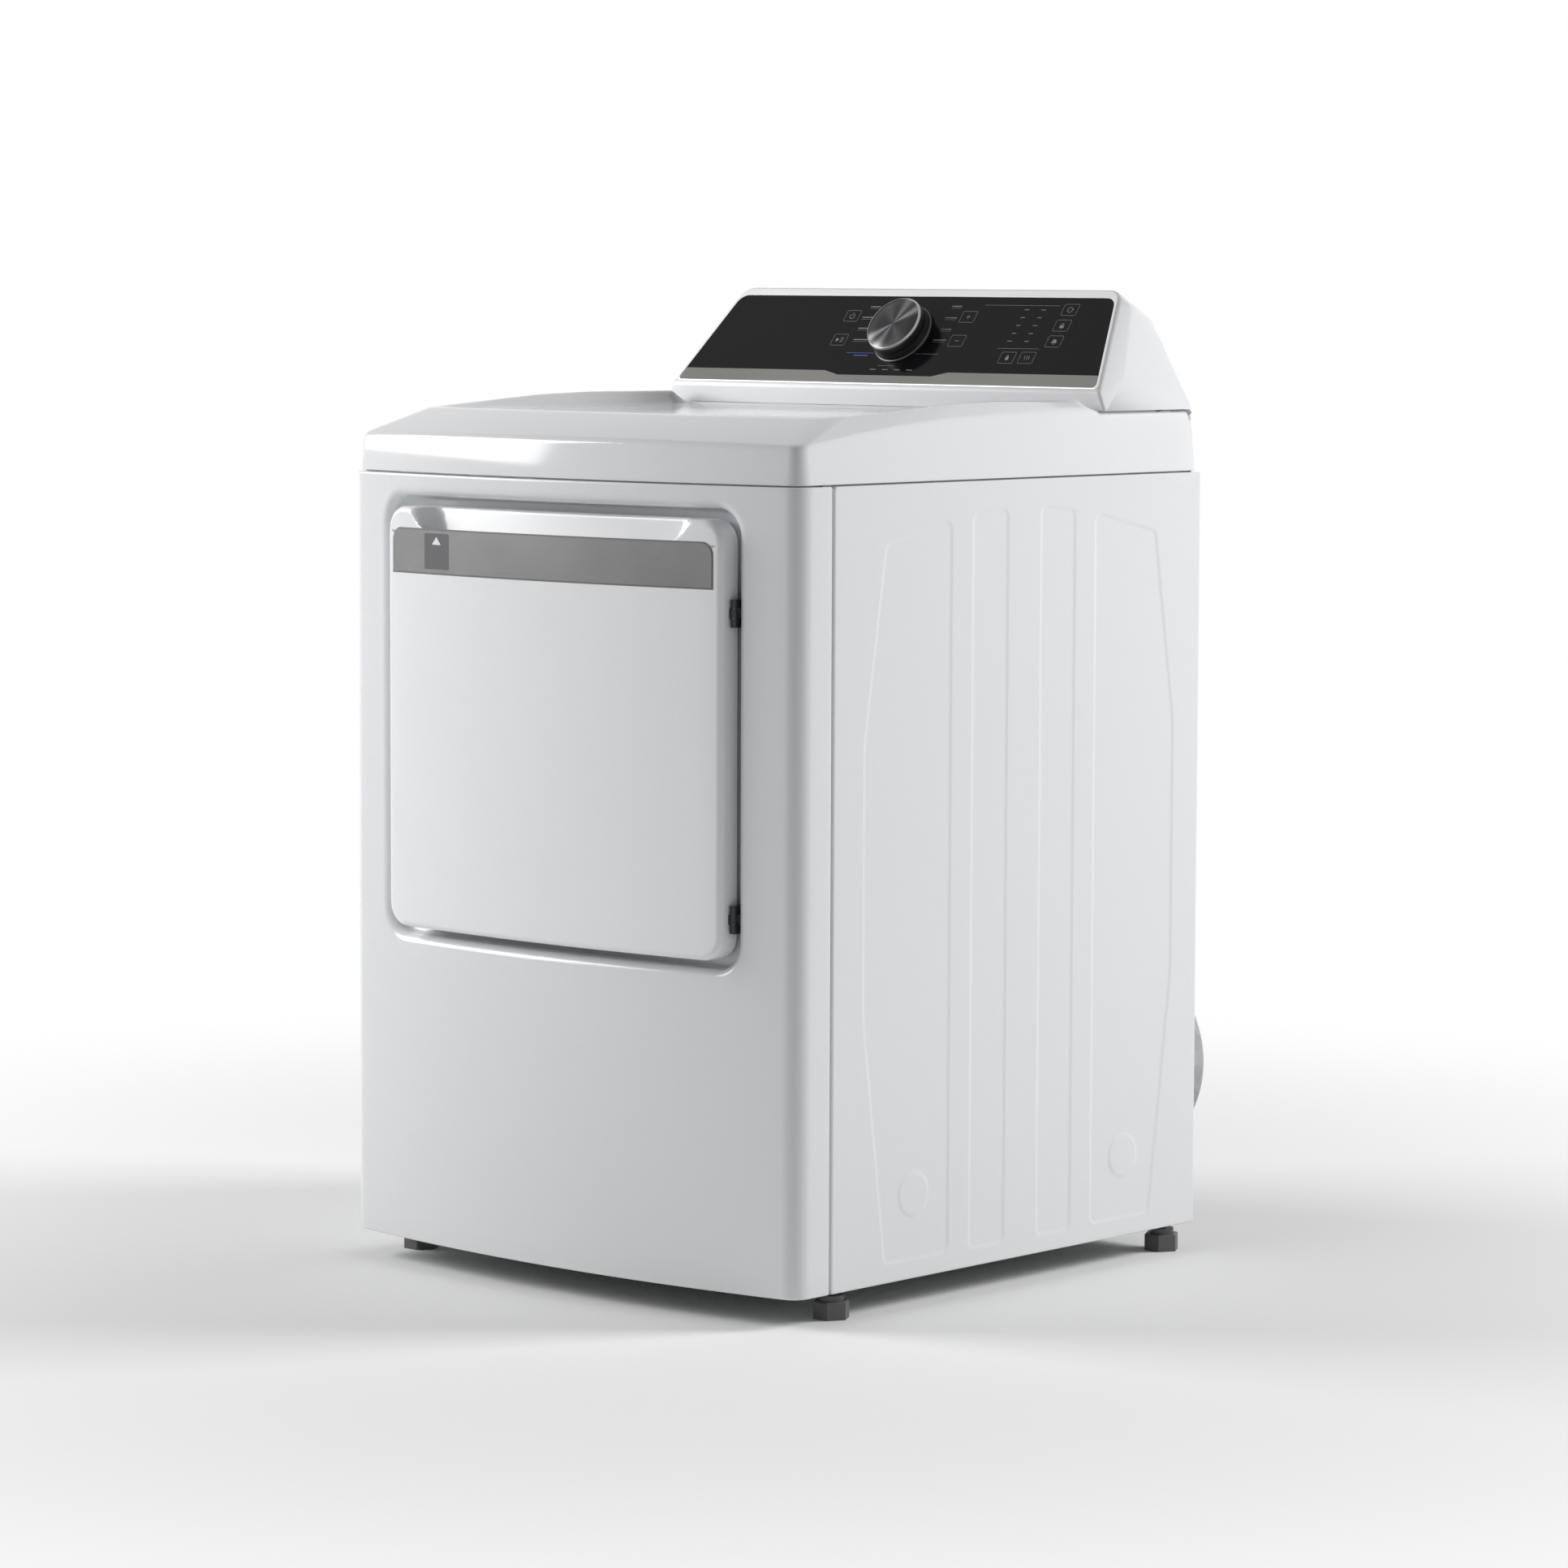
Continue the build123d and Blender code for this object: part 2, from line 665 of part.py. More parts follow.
# Idler spring: its coil drawn as a turned body with a ridge for each turn, hooked on the arm's stud
spring_turns = 10
spring_pitch = 4.0
spring_wire = 1.2
spring_radius = 4.5
spring_y = -11.0
spring_start_x = (spring_post_x + stud_x - spring_turns * spring_pitch) / 2
spring_middle = Pos((stud_x + spring_post_x) / 2, spring_y, spring_z)
spring = spring_middle * Rot(0, 90, 0) * Cylinder(spring_wire, spring_post_x - stud_x)
for i in range(spring_turns):
    ridge_x = spring_start_x + (i + 0.5) * spring_pitch
    spring += Pos(ridge_x, spring_y, spring_z) * Rot(0, 90, 0) * Cylinder(spring_radius, 2 * spring_wire)
nodes["idler_spring"] = spring

# Blower housing with an inlet neck at the lint chute and a round outlet, and its bladed wheel
outlet_x = (duct_x - duct_radius - 5, motor_x)
outlet_z = (duct_z - duct_radius - 2, duct_z + duct_radius + 2)
blower = rod_y(motor_x, motor_z, blower_y, blower_radius) + block(outlet_x, blower_y, outlet_z)
blower_inside_y = (blower_y[0] + blower_wall, blower_y[1] - blower_wall)
blower -= rod_y(motor_x, motor_z, blower_inside_y, blower_radius - blower_wall)
blower -= block(
    (outlet_x[0] + blower_wall, outlet_x[1]),
    blower_inside_y,
    (outlet_z[0] + blower_wall, outlet_z[1] - blower_wall),
)
blower += rod_y(motor_x, motor_z, (chute_y[1], blower_y[0]), blower_inlet_radius + blower_wall)
blower -= rod_y(motor_x, motor_z, (chute_y[1] - 5, blower_y[0] + 5), blower_inlet_radius)
blower -= rod_y(motor_x, motor_z, (blower_y[1] - 5, blower_y[1] + 5), motor_shaft_radius + 2)
blower -= rod_y(duct_x, duct_z, (blower_y[1] - 5, blower_y[1] + 5), duct_radius - duct_wall)
nodes["blower_housing"] = blower
wheel_y = (blower_y[0] + 8, blower_y[1] - 10)
wheel = rod_y(motor_x, motor_z, (wheel_y[1] - 3, wheel_y[1]), wheel_radius)
wheel += rod_y(motor_x, motor_z, (wheel_y[0] + 20, wheel_y[1]), 18)
wheel += tube_y(motor_x, motor_z, (wheel_y[0], wheel_y[0] + 3), wheel_radius, wheel_radius - 22)
for i in range(wheel_blades):
    blade = block((wheel_radius - 21, wheel_radius - 1), (wheel_y[0] + 1, wheel_y[1] - 1), (-0.8, 0.8))
    turn = Pos(motor_x, 0, motor_z) * Rot(0, 360 * i / wheel_blades, 0)
    wheel += turn * blade
wheel -= rod_y(motor_x, motor_z, (-300, -100), motor_shaft_radius)
nodes["blower_wheel"] = wheel

# Exhaust: a pipe to the rear panel and a collar behind it for the house duct
exhaust_inner = duct_radius - duct_wall
nodes["exhaust_duct"] = tube_y(duct_x, duct_z, (blower_y[1], rear_panel_y[0]), duct_radius, exhaust_inner)
collar = tube_y(duct_x, duct_z, (rear_panel_y[1], duct_end_y), duct_radius, exhaust_inner)
collar += tube_y(duct_x, duct_z, (rear_panel_y[1], rear_panel_y[1] + 2), duct_radius + 11, exhaust_inner)
nodes["exhaust_collar"] = collar

# Lint chute, open at the top, and the filter that drops into it
chute_z = (chute_bottom_z, port_z[0] - 3)
chute = block((-chute_half_width, chute_half_width), chute_y, chute_z)
chute -= block(
    (-chute_half_width + chute_wall, chute_half_width - chute_wall),
    (chute_y[0] + chute_wall, chute_y[1] - chute_wall),
    (chute_z[0] + chute_wall, chute_z[1] + 5),
)
chute -= rod_y(motor_x, motor_z, (chute_y[1] - 5, chute_y[1] + 5), blower_inlet_radius)
nodes["lint_chute"] = chute
lint_filter = block((-filter_half_width, filter_half_width), filter_y, filter_z)
filter_inside_y = (filter_y[0] + 3, filter_y[1] - 3)
filter_inside_x = (-filter_half_width + 8, filter_half_width - 8)
lint_filter -= block(filter_inside_x, filter_inside_y, (filter_z[0] + 8, filter_z[1] + 5))
window_columns = 5
window_rows = 3
pane_x = (2 * filter_half_width - 20) / window_columns
pane_z = (filter_z[1] - filter_z[0] - 34) / window_rows
for column in range(window_columns):
    for row in range(window_rows):
        left = -filter_half_width + 10 + column * pane_x
        low = filter_z[0] + 10 + row * pane_z
        pane = ((left + 2, left + pane_x - 2), (low + 2, low + pane_z - 2))
        lint_filter -= block(pane[0], (filter_y[0] - 1, filter_y[1] + 1), pane[1])
lint_filter += block((-30, 30), filter_y, (filter_z[1] - 12, filter_z[1]))
nodes["lint_filter"] = lint_filter

# Moisture sensor bars on the throat's floor
bars = []
for bar_y in (bulkhead_y[0] - 9, bulkhead_y[0] - 4):
    bars.append(block((-70, 70), (bar_y - 1.2, bar_y + 1.2), (port_z[0], port_z[0] + 2)))
nodes["moisture_sensor"] = Compound(children=bars)

# Heater can with its element, and the duct cover that leads its air to the drum
heater_y = (heater_start_y, rear_panel_y[0])
nodes["heater_housing"] = tube_y(heater_x, heater_z, heater_y, heater_radius, heater_radius - sheet)
coil = Part()
coil_y = (heater_start_y + coil_end_gap, rear_panel_y[0] - coil_end_gap)
for i in range(coil_rings):
    ring_y = coil_y[0] + i * (coil_y[1] - coil_y[0]) / (coil_rings - 1)
    ring_span = (ring_y - coil_ring_width / 2, ring_y + coil_ring_width / 2)
    coil += tube_y(heater_x, heater_z, ring_span, coil_outer_radius, coil_inner_radius)
can_inside = heater_radius - sheet
for angle in coil_angles:
    x = heater_x + coil_rod_reach * math.cos(math.radians(angle))
    z = heater_z + coil_rod_reach * math.sin(math.radians(angle))
    coil += rod_y(x, z, (coil_y[0] - coil_rod_radius, coil_y[1] + coil_rod_radius), coil_rod_radius)
    foot_angle = Pos(heater_x, sum(coil_y) / 2, heater_z) * Rot(0, -angle, 0)
    foot_reach = (coil_rod_reach + can_inside) / 2
    coil += foot_angle * Pos(foot_reach, 0, 0) * Box(can_inside - coil_rod_reach, 8, 4)
coil &= rod_y(heater_x, heater_z, heater_y, can_inside)
nodes["heater_coil"] = coil


def duct_outline(inset):
    """Outline of the rear duct cover: two circles, joined by their tangents."""
    low = Pos(heater_x, heater_z) * Circle(bulge_radius - inset)
    high = Pos(inlet_x, inlet_z) * Circle(neck_radius - inset)
    return make_hull(low.edges() + high.edges())


bulge = prism_y(duct_outline(0), (rear_panel_y[1], rear_panel_y[1] + bulge_depth))
bulge = fillet(bulge.faces().sort_by(Axis.Y)[-1].edges(), bulge_edge)
bulge_inside = prism_y(duct_outline(sheet), (rear_panel_y[1] - 1, rear_panel_y[1] + bulge_depth - sheet))
bulge_inside = fillet(bulge_inside.faces().sort_by(Axis.Y)[-1].edges(), bulge_edge - sheet)
nodes["rear_duct_cover"] = bulge - bulge_inside


# Top cover
def drafted_side(inset):
    """What lies outside the leaning right side of the cover."""
    x = half_width - cover_inset - inset
    rise = tall - cover_bottom_z
    lean = apron_draft / (apron_top_z - cover_bottom_z)
    outline = polygon(
        [
            (x, cover_bottom_z),
            (x - lean * rise, tall),
            (x + beyond, tall),
            (x + beyond, cover_bottom_z - beyond),
            (x, cover_bottom_z - beyond),
        ]
    )
    return prism_y(outline, (-500, 500))


def crown(inset, drop):
    """Front apron, slope and crown of the cover, swept about the bow axis."""
    front = bow_radius - cover_inset - inset
    low = cover_bottom_z - beyond
    profile = polygon(
        [
            (front, low),
            (front, cover_bottom_z - drop),
            (front - apron_draft, apron_top_z - drop),
            (front - slope_depth, slope_top_z - drop),
            (front - crown_depth, crown_top_z - drop),
            (front - crown_reach, crown_top_z - drop),
            (front - crown_reach, low),
        ]
    )
    bends = {
        (front - apron_draft, apron_top_z - drop): apron_bend,
        (front - slope_depth, slope_top_z - drop): crown_bend,
    }
    for place, radius in bends.items():
        corner = [v for v in profile.vertices() if math.dist((v.X, v.Y), place) < 0.5]
        profile = fillet(corner, radius)
    sweep = 50
    across = Plane(origin=(0, 0, 0), x_dir=(0, -1, 0), z_dir=(-1, 0, 0))
    swept = revolve(Rot(0, 0, -sweep / 2) * (across * profile), Axis.Z, sweep)
    return Pos(0, bow_axis_y, 0) * swept


def crown_height(x, y):
    """Height of the cover's front slope and crown over a place in plan, with its bends left sharp."""
    depth = bow_radius - cover_inset - math.hypot(x, y - bow_axis_y)
    if depth < slope_depth:
        share = (depth - apron_draft) / (slope_depth - apron_draft)
        return apron_top_z + share * (slope_top_z - apron_top_z)
    share = min((depth - slope_depth) / (crown_depth - slope_depth), 1.0)
    return slope_top_z + share * (crown_top_z - slope_top_z)


def shoulder(inset, drop):
    """What lies outside the sloped shoulder along the right rim."""
    lean = apron_draft / (apron_top_z - cover_bottom_z)
    sections = []
    for y in shoulder_stations:
        crest_z = crown_height(half_width - shoulder_width, y) - drop
        low_z = crest_z - shoulder_drop
        side_x = half_width - cover_inset - inset - lean * (low_z + drop - cover_bottom_z)
        crest_x = side_x - shoulder_width
        outline = polygon(
            [
                (side_x, low_z),
                (crest_x, crest_z),
                (crest_x, crest_z + beyond),
                (side_x + beyond, crest_z + beyond),
                (side_x + beyond, low_z),
            ]
        )
        sections.append(Plane.XZ.offset(-y) * outline)
    return loft(sections, ruled=True)


def cover_body(inset, drop, low):
    """The cover's form, inset and lowered by its wall for the hollow inside."""
    body = upright(bowed_plan(cover_inset + inset, cover_rear_y - inset), (low, crown_top_z + 20))
    body &= crown(inset, drop)
    leaning = drafted_side(inset)
    body -= leaning
    body -= mirrored(leaning)
    sloped = shoulder(inset, drop)
    body -= sloped
    body -= mirrored(sloped)
    behind_rims = polygon(
        [
            (rim_end_y - inset, tall),
            (rim_end_y - inset, crown_top_z - drop),
            (deck_start_y - inset, deck_z - drop),
            (500, deck_z - drop),
            (500, tall),
        ]
    )
    body -= prism_x(behind_rims, (-500, 500))
    tray_radius = bow_radius - cover_inset - tray_front_depth + inset
    tray_x = tray_half_width + inset
    tray_plan = bowed_outline(tray_x, tray_radius, tray_rear_y + inset, tray_front_corner + inset)
    rear_corners = tray_plan.vertices().sort_by(Axis.Y)[-2:]
    tray = upright(fillet(rear_corners, tray_corner), (tray_floor_z - drop, tall))
    tray = fillet(tray.faces().sort_by(Axis.Z)[0].edges(), tray_cove)
    return body - tray


top_cover = cover_body(0, 0, cover_bottom_z) - cover_body(cover_wall, cover_wall, cover_bottom_z - 20)
lip_top_z = cover_bottom_z + cover_wall
lip_plans = [bowed_plan(inset, cover_rear_y - inset) for inset in lip_inset]
inside_lip = upright(lip_plans[1], (0, tall))
top_cover += upright(lip_plans[0], (panel_top_z, lip_top_z)) - inside_lip
bridge_inset = cover_inset + 1
bridge_plan = bowed_plan(bridge_inset, cover_rear_y - bridge_inset)
top_cover += upright(bridge_plan, (cover_bottom_z, lip_top_z)) - inside_lip
nodes["top_cover"] = top_cover

# Console
face_plane = Plane(
    origin=(0, face_low[0], face_low[1]),
    x_dir=(1, 0, 0),
    z_dir=(0, -face_up[1], face_up[0]),
)


def console_ends(inset):
    """What lies outside the leaning right end of the console."""
    x = console_half_width - inset
    rise = tall - deck_z
    low = deck_z - beyond
    outline = polygon(
        [
            (x + console_end_slope * beyond, low),
            (x - console_end_slope * rise, tall),
            (x + 2 * beyond, tall),
            (x + 2 * beyond, low),
        ]
    )
    return prism_y(outline, (0, 500))


def console_body(inset, edge):
    """The console's form, inset by its wall for the hollow inside."""
    outline = polygon(console_profile)
    if inset:
        outline = offset(outline, -inset, kind=Kind.INTERSECTION)
    body = prism_x(outline, (-half_width, half_width))
    body -= console_ends(inset)
    body -= mirrored(console_ends(inset))
    low_edges = body.faces().sort_by(Axis.Z)[0].edges()
    raised = [e for e in body.edges() if all((e @ 0.5 - low @ 0.5).length > 1 for low in low_edges)]
    return fillet(raised, edge)


def face_outline(margin, low, top_corner, bottom_corner):
    """Tapered outline on the console's face, inset by a margin, with rounded corners."""
    top = face_length - margin
    half_low = face_half_low - face_taper * low - margin
    half_high = face_half_low - face_taper * top - margin
    outline = polygon([(-half_low, low), (half_low, low), (half_high, top), (-half_high, top)])
    outline = fillet(outline.vertices().sort_by(Axis.Y)[-2:], top_corner)
    return fillet(outline.vertices().sort_by(Axis.Y)[:2], bottom_corner)


def on_face(outline, low, high):
    """Plate on the console's face between two heights above it."""
    return extrude(face_plane.offset(low) * outline, high - low)


bezel_outline = face_outline(bezel_margin, bezel_margin, bezel_top_corner, 6)
panel_outline = face_outline(bezel_margin + bezel_width, band_height, bezel_top_corner - bezel_width, 2)
dip = polygon(
    [
        (-dip_half_width[0], band_height + 1),
        (-dip_half_width[1], dip_low),
        (dip_half_width[1], dip_low),
        (dip_half_width[0], band_height + 1),
    ]
)
panel_outline += dip
knob_centre = Pos(0, knob_v)
console_inside = console_body(console_wall, 2)
open_bottom = polygon([(185, deck_z - 5), (332, deck_z - 5), (330, deck_z + 8), (187, deck_z + 8)])
console_inside += prism_x(open_bottom, (-320, 320))
console_housing = console_body(0, console_edge) - console_inside
console_housing -= on_face(bezel_outline, -bezel_depth, 5)
console_housing -= on_face(knob_centre * Circle(encoder_bush), -20, 5)
nodes["console_housing"] = console_housing
nodes["console_bezel"] = on_face(bezel_outline, -bezel_depth, 0.4) - on_face(panel_outline, -5, 5)
control_panel = on_face(panel_outline, -bezel_depth, 0)
nodes["control_panel"] = control_panel - on_face(knob_centre * Circle(encoder_bush), -5, 5)

# Encoder behind the face, its shaft and the knob on it
encoder = on_face(knob_centre * Rectangle(encoder_side, encoder_side), board_level + board_thickness, -8)
encoder += on_face(knob_centre * Circle(encoder_bush - 0.2), -8, 0.3)
encoder -= on_face(knob_centre * Circle(encoder_shaft_radius + running_fit), board_level + 4, 5)
nodes["selector_encoder"] = encoder
knob_inside = knob_height - 8
nodes["encoder_shaft"] = on_face(knob_centre * Circle(encoder_shaft_radius), board_level + 6, knob_inside)
knob_profile = polygon(
    [
        (0, knob_gap),
        (knob_base_radius, knob_gap),
        (knob_base_radius, knob_gap + 3),
        (knob_cap_radius + 0.5, knob_height - 2),
        (knob_cap_radius - 1, knob_height),
        (knob_cap_radius - 3, knob_height - 0.6),
        (0, knob_height - 0.6),
    ]
)
knob = revolve(Plane.XZ * knob_profile, Axis.Z)
knob -= rod_z(0, 0, (0, knob_height - 5), knob_cap_radius - knob_wall)
knob += rod_z(0, 0, (knob_gap + 1, knob_height - 4), 8)
knob -= rod_z(0, 0, (0, knob_inside), encoder_shaft_radius)
nodes["selector_knob"] = face_plane.location * Pos(0, knob_v, 0) * knob

# Control board under the face
board_outline = Pos(0, knob_v - 4) * Rectangle(*board_size)
board_top = board_level + board_thickness
board = on_face(board_outline, board_level, board_top)
for x in board_part_places:
    board_part = Pos(x, knob_v) * Rectangle(*board_part_size)
    board += on_face(board_part, board_top, board_level + board_part_height)
for x in (-board_post_x, board_post_x):
    board += on_face(Pos(x, knob_v) * Circle(board_post_radius), board_level, -console_wall - 0.2)
nodes["control_board"] = board

# Door: bowed outer panel with a handle scoop behind its strip
door_radius = bow_radius + door_proud


def door_prism(inset, radius, span):
    """Rounded prism of the door, cut by a bowed front of the given radius."""
    return prism_y(window(door_half_width, door_z, door_corner, -inset), span) & bow_cylinder(radius)


door_outer = door_prism(0, door_radius, (-500, door_back_y))
door_outer = fillet(bow_edges(door_outer, door_radius), door_edge)
door_hollow = door_prism(door_wall, door_radius - door_wall, (-500, door_back_y + 1))
door_hollow = fillet(bow_edges(door_hollow, door_radius - door_wall), door_edge - door_wall)


def scoop(grow):
    """Finger space above and behind the strip, grown by a wall."""
    outline = polygon(
        [
            (scoop_front_y - grow, scoop_floor_z - grow),
            (scoop_back_y + grow, scoop_floor_z - grow),
            (scoop_back_y + grow, door_z[1] + 20),
            (-450, door_z[1] + 20),
            (-450, strip_z[1] - grow),
            (scoop_front_y - grow, strip_z[1] - grow),
        ]
    )
    low_corners = outline.vertices().sort_by(Axis.Y)[:2]
    outline = fillet(low_corners, scoop_bend + grow)
    return prism_x(outline, (-scoop_half_width - grow, scoop_half_width + grow))


door_panel = door_outer - (door_hollow - scoop(door_wall)) - scoop(0)
nodes["door_outer_panel"] = door_panel

# Strip: thin metal trim on the bowed face
strip_outline = polygon(
    [
        (-strip_half_width, strip_z[0]),
        (strip_half_width, strip_z[0]),
        (strip_half_width, strip_z[1]),
        (-strip_half_width, strip_z[1]),
    ]
)
strip_outline = fillet(strip_outline.vertices().sort_by(Axis.Y)[-2:], strip_top_corner)
strip = prism_y(strip_outline, (-500, -300)) & bow_cylinder(door_radius + strip_thickness)
nodes["door_strip"] = strip - bow_cylinder(door_radius)

# Inner liner with the plug that fills the port, and the seal round it
liner = prism_y(window(door_half_width, door_z, door_corner, -3), (door_back_y, liner_back_y))
liner += prism_y(window(plug_half_width, plug_z, plug_corner), (door_back_y, plug_back_y))
liner -= prism_y(window(plug_half_width, plug_z, plug_corner, -3), (door_back_y - 5, plug_back_y - 3))
nodes["door_inner_liner"] = liner
seal = port_prism(seal_inner_margin + seal_width, (liner_back_y, seal_back_y))
seal -= port_prism(seal_inner_margin, (liner_back_y - 5, seal_back_y + 5))
nodes["door_seal"] = seal

# Strike on the door, catch and switch behind the ledge
strike = block((catch_x - 3, catch_x + 3), (liner_back_y, -322), (catch_z - 8, catch_z + 8))
strike += block((catch_x - 8, catch_x + 8), (liner_back_y, liner_back_y + 2), (catch_z - 11, catch_z + 11))
nodes["door_strike"] = strike
ledge_back_y = recess_floor_y + sheet
catch = block((catch_x - 15, catch_x + 15), (ledge_back_y, -310), (catch_z - 18, catch_z + 18))
catch -= block((catch_x - 7, catch_x + 7), (ledge_back_y - 5, -315), (catch_z - 12, catch_z + 12))
nodes["door_catch"] = catch
switch = block((catch_x - 12, catch_x + 12), (ledge_back_y, -305), (switch_z - 15, switch_z + 15))
switch -= rod_y(catch_x, switch_z, (-350, -312), plunger_radius + running_fit)
nodes["door_switch_body"] = switch
nodes["door_switch_plunger"] = rod_y(catch_x, switch_z, (liner_back_y + 0.5, -315), plunger_radius)

# Hinges: cabinet knuckles above and below the door's knuckle, on a pin
cabinet_leaves = []
door_leaves = []
pins = []
leaf_x = (hinge_x - leaf_half_width, hinge_x + leaf_half_width)
tongue_y = (hinge_y - knuckle_radius, hinge_y + knuckle_radius)
for z in hinge_heights:
    half_door = door_knuckle_height / 2
    leaf = Part()
    for low in (z + half_door + knuckle_gap, z - half_door - knuckle_gap - knuckle_height):
        span = (low, low + knuckle_height)
        leaf += rod_z(hinge_x, hinge_y, span, knuckle_radius)
        leaf += block(leaf_x, (hinge_y, recess_floor_y), span)
    reach = half_door + knuckle_gap + knuckle_height
    leaf += block(leaf_x, (recess_floor_y - 3, recess_floor_y), (z - reach, z + reach))
    leaf -= rod_z(hinge_x, hinge_y, (z - 50, z + 50), hinge_pin_radius)
    cabinet_leaves.append(leaf)
    pins.append(rod_z(hinge_x, hinge_y, (z - reach, z + reach), hinge_pin_radius))
    door_span = (z - half_door, z + half_door)
    door_leaf = rod_z(hinge_x, hinge_y, door_span, knuckle_radius)
    door_leaf += block((door_half_width, hinge_x), tongue_y, door_span)
    door_leaf -= rod_z(hinge_x, hinge_y, (z - 50, z + 50), hinge_pin_radius + running_fit)
    door_leaves.append(door_leaf)
nodes["hinge_cabinet_leaves"] = Compound(children=cabinet_leaves)
nodes["hinge_pins"] = Compound(children=pins)
nodes["hinge_door_leaves"] = Compound(children=door_leaves)

# Terminal block behind a cover; the cover's floor is pierced for the supply lead
cover_y = (rear_panel_y[1], rear_panel_y[1] + terminal_depth)
cover_x = (terminal_x - terminal_half_width, terminal_x + terminal_half_width)
terminal_cover = block(cover_x, cover_y, terminal_z)
terminal_cover -= block(
    (cover_x[0] + terminal_wall, cover_x[1] - terminal_wall),
    (cover_y[0] - 1, cover_y[1] - terminal_wall),
    (terminal_z[0] + terminal_wall, terminal_z[1] - terminal_wall),
)
lead_y = sum(cover_y) / 2
terminal_cover -= rod_z(terminal_x, lead_y, (terminal_z[0] - 5, terminal_z[0] + 5), inlet_bore_radius)
nodes["terminal_cover"] = terminal_cover
posts_y = (cover_y[0] + terminal_block_depth, cover_y[0] + terminal_post_depth)
block_x = (terminal_x - terminal_block_half_width, terminal_x + terminal_block_half_width)
terminal_block = block(block_x, (cover_y[0], posts_y[0]), terminal_block_z)
for x in (-terminal_post_pitch, 0, terminal_post_pitch):
    terminal_block += rod_y(terminal_x + x, sum(terminal_block_z) / 2, posts_y, terminal_post_radius)
nodes["terminal_block"] = terminal_block


# Screws
def screw_y(x, z, seat_y, grip):
    """Screw driven towards the front, with its head on a face that looks to the rear."""
    screw = rod_y(x, z, (seat_y, seat_y + screw_head_height), screw_head_radius)
    return screw + rod_y(x, z, (seat_y - grip, seat_y), screw_shank_radius)


cabinet_screws = []
for x in (-half_width + flange_width / 2, half_width - flange_width / 2):
    for z in cabinet_screw_heights:
        cabinet_screws.append(screw_y(x, z, side_rear_y, cabinet_screw_grip))
nodes["cabinet_screws"] = Compound(children=cabinet_screws)
door_screws = []
for x in (-door_screw_x, door_screw_x):
    for z in door_screw_heights:
        door_screws.append(screw_y(x, z, liner_back_y, door_screw_grip))
nodes["door_screws"] = Compound(children=door_screws)

os.makedirs("parts", exist_ok=True)
for name, solid in nodes.items():
    export_step(solid, "parts/" + name + ".step")
print(len(nodes), "nodes")
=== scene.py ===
import json
import logging
import math
from dataclasses import dataclass, field
from enum import Enum
from typing import Any, Callable, Dict, Iterable, List, Mapping, Optional, Sequence, Tuple, Union

import bmesh
import bpy
import numpy as np
from mathutils import Matrix, Vector
from mathutils.geometry import tessellate_polygon


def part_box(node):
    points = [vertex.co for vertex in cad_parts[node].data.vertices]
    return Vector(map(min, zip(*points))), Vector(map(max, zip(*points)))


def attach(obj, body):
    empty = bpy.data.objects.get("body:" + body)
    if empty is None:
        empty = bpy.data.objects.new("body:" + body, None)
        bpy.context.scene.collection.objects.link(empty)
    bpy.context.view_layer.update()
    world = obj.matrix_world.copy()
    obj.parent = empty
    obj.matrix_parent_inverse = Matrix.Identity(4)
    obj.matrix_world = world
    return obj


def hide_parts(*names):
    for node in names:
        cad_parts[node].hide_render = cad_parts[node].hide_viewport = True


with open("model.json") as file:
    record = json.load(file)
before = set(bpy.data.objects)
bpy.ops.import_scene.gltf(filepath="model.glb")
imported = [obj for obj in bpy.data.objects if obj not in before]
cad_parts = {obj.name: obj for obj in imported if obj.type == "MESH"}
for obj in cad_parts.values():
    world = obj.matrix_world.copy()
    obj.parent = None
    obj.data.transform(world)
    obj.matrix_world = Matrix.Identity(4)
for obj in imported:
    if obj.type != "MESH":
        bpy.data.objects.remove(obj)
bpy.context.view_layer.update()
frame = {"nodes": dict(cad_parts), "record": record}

LOG = logging.getLogger("dryer")
MM = 0.001
WELD = 2e-6
SLACK = 0.01
SMALLEST_RADIUS = 0.05
RUN_SHARE = 0.48
QUARTER = math.pi / 2
COAT_ROUGHNESS = 0.08
NOISE_ROUGHNESS = 0.6
RINGS_PER_METRE = 520.0
RING_WOBBLE = 0.6
CLOUDS_PER_METRE = 5.0
TINT_STOPS = (0.25, 0.75)
GLOSS_STOPS = (0.1, 0.4)
LEAST_ROUGHNESS = 0.02
Pair = Tuple[float, float]
Point = Tuple[float, float, float]
Colour = Tuple[float, float, float]
Inputs = Mapping[Union[str, int], Any]
Socket = bpy.types.NodeSocket


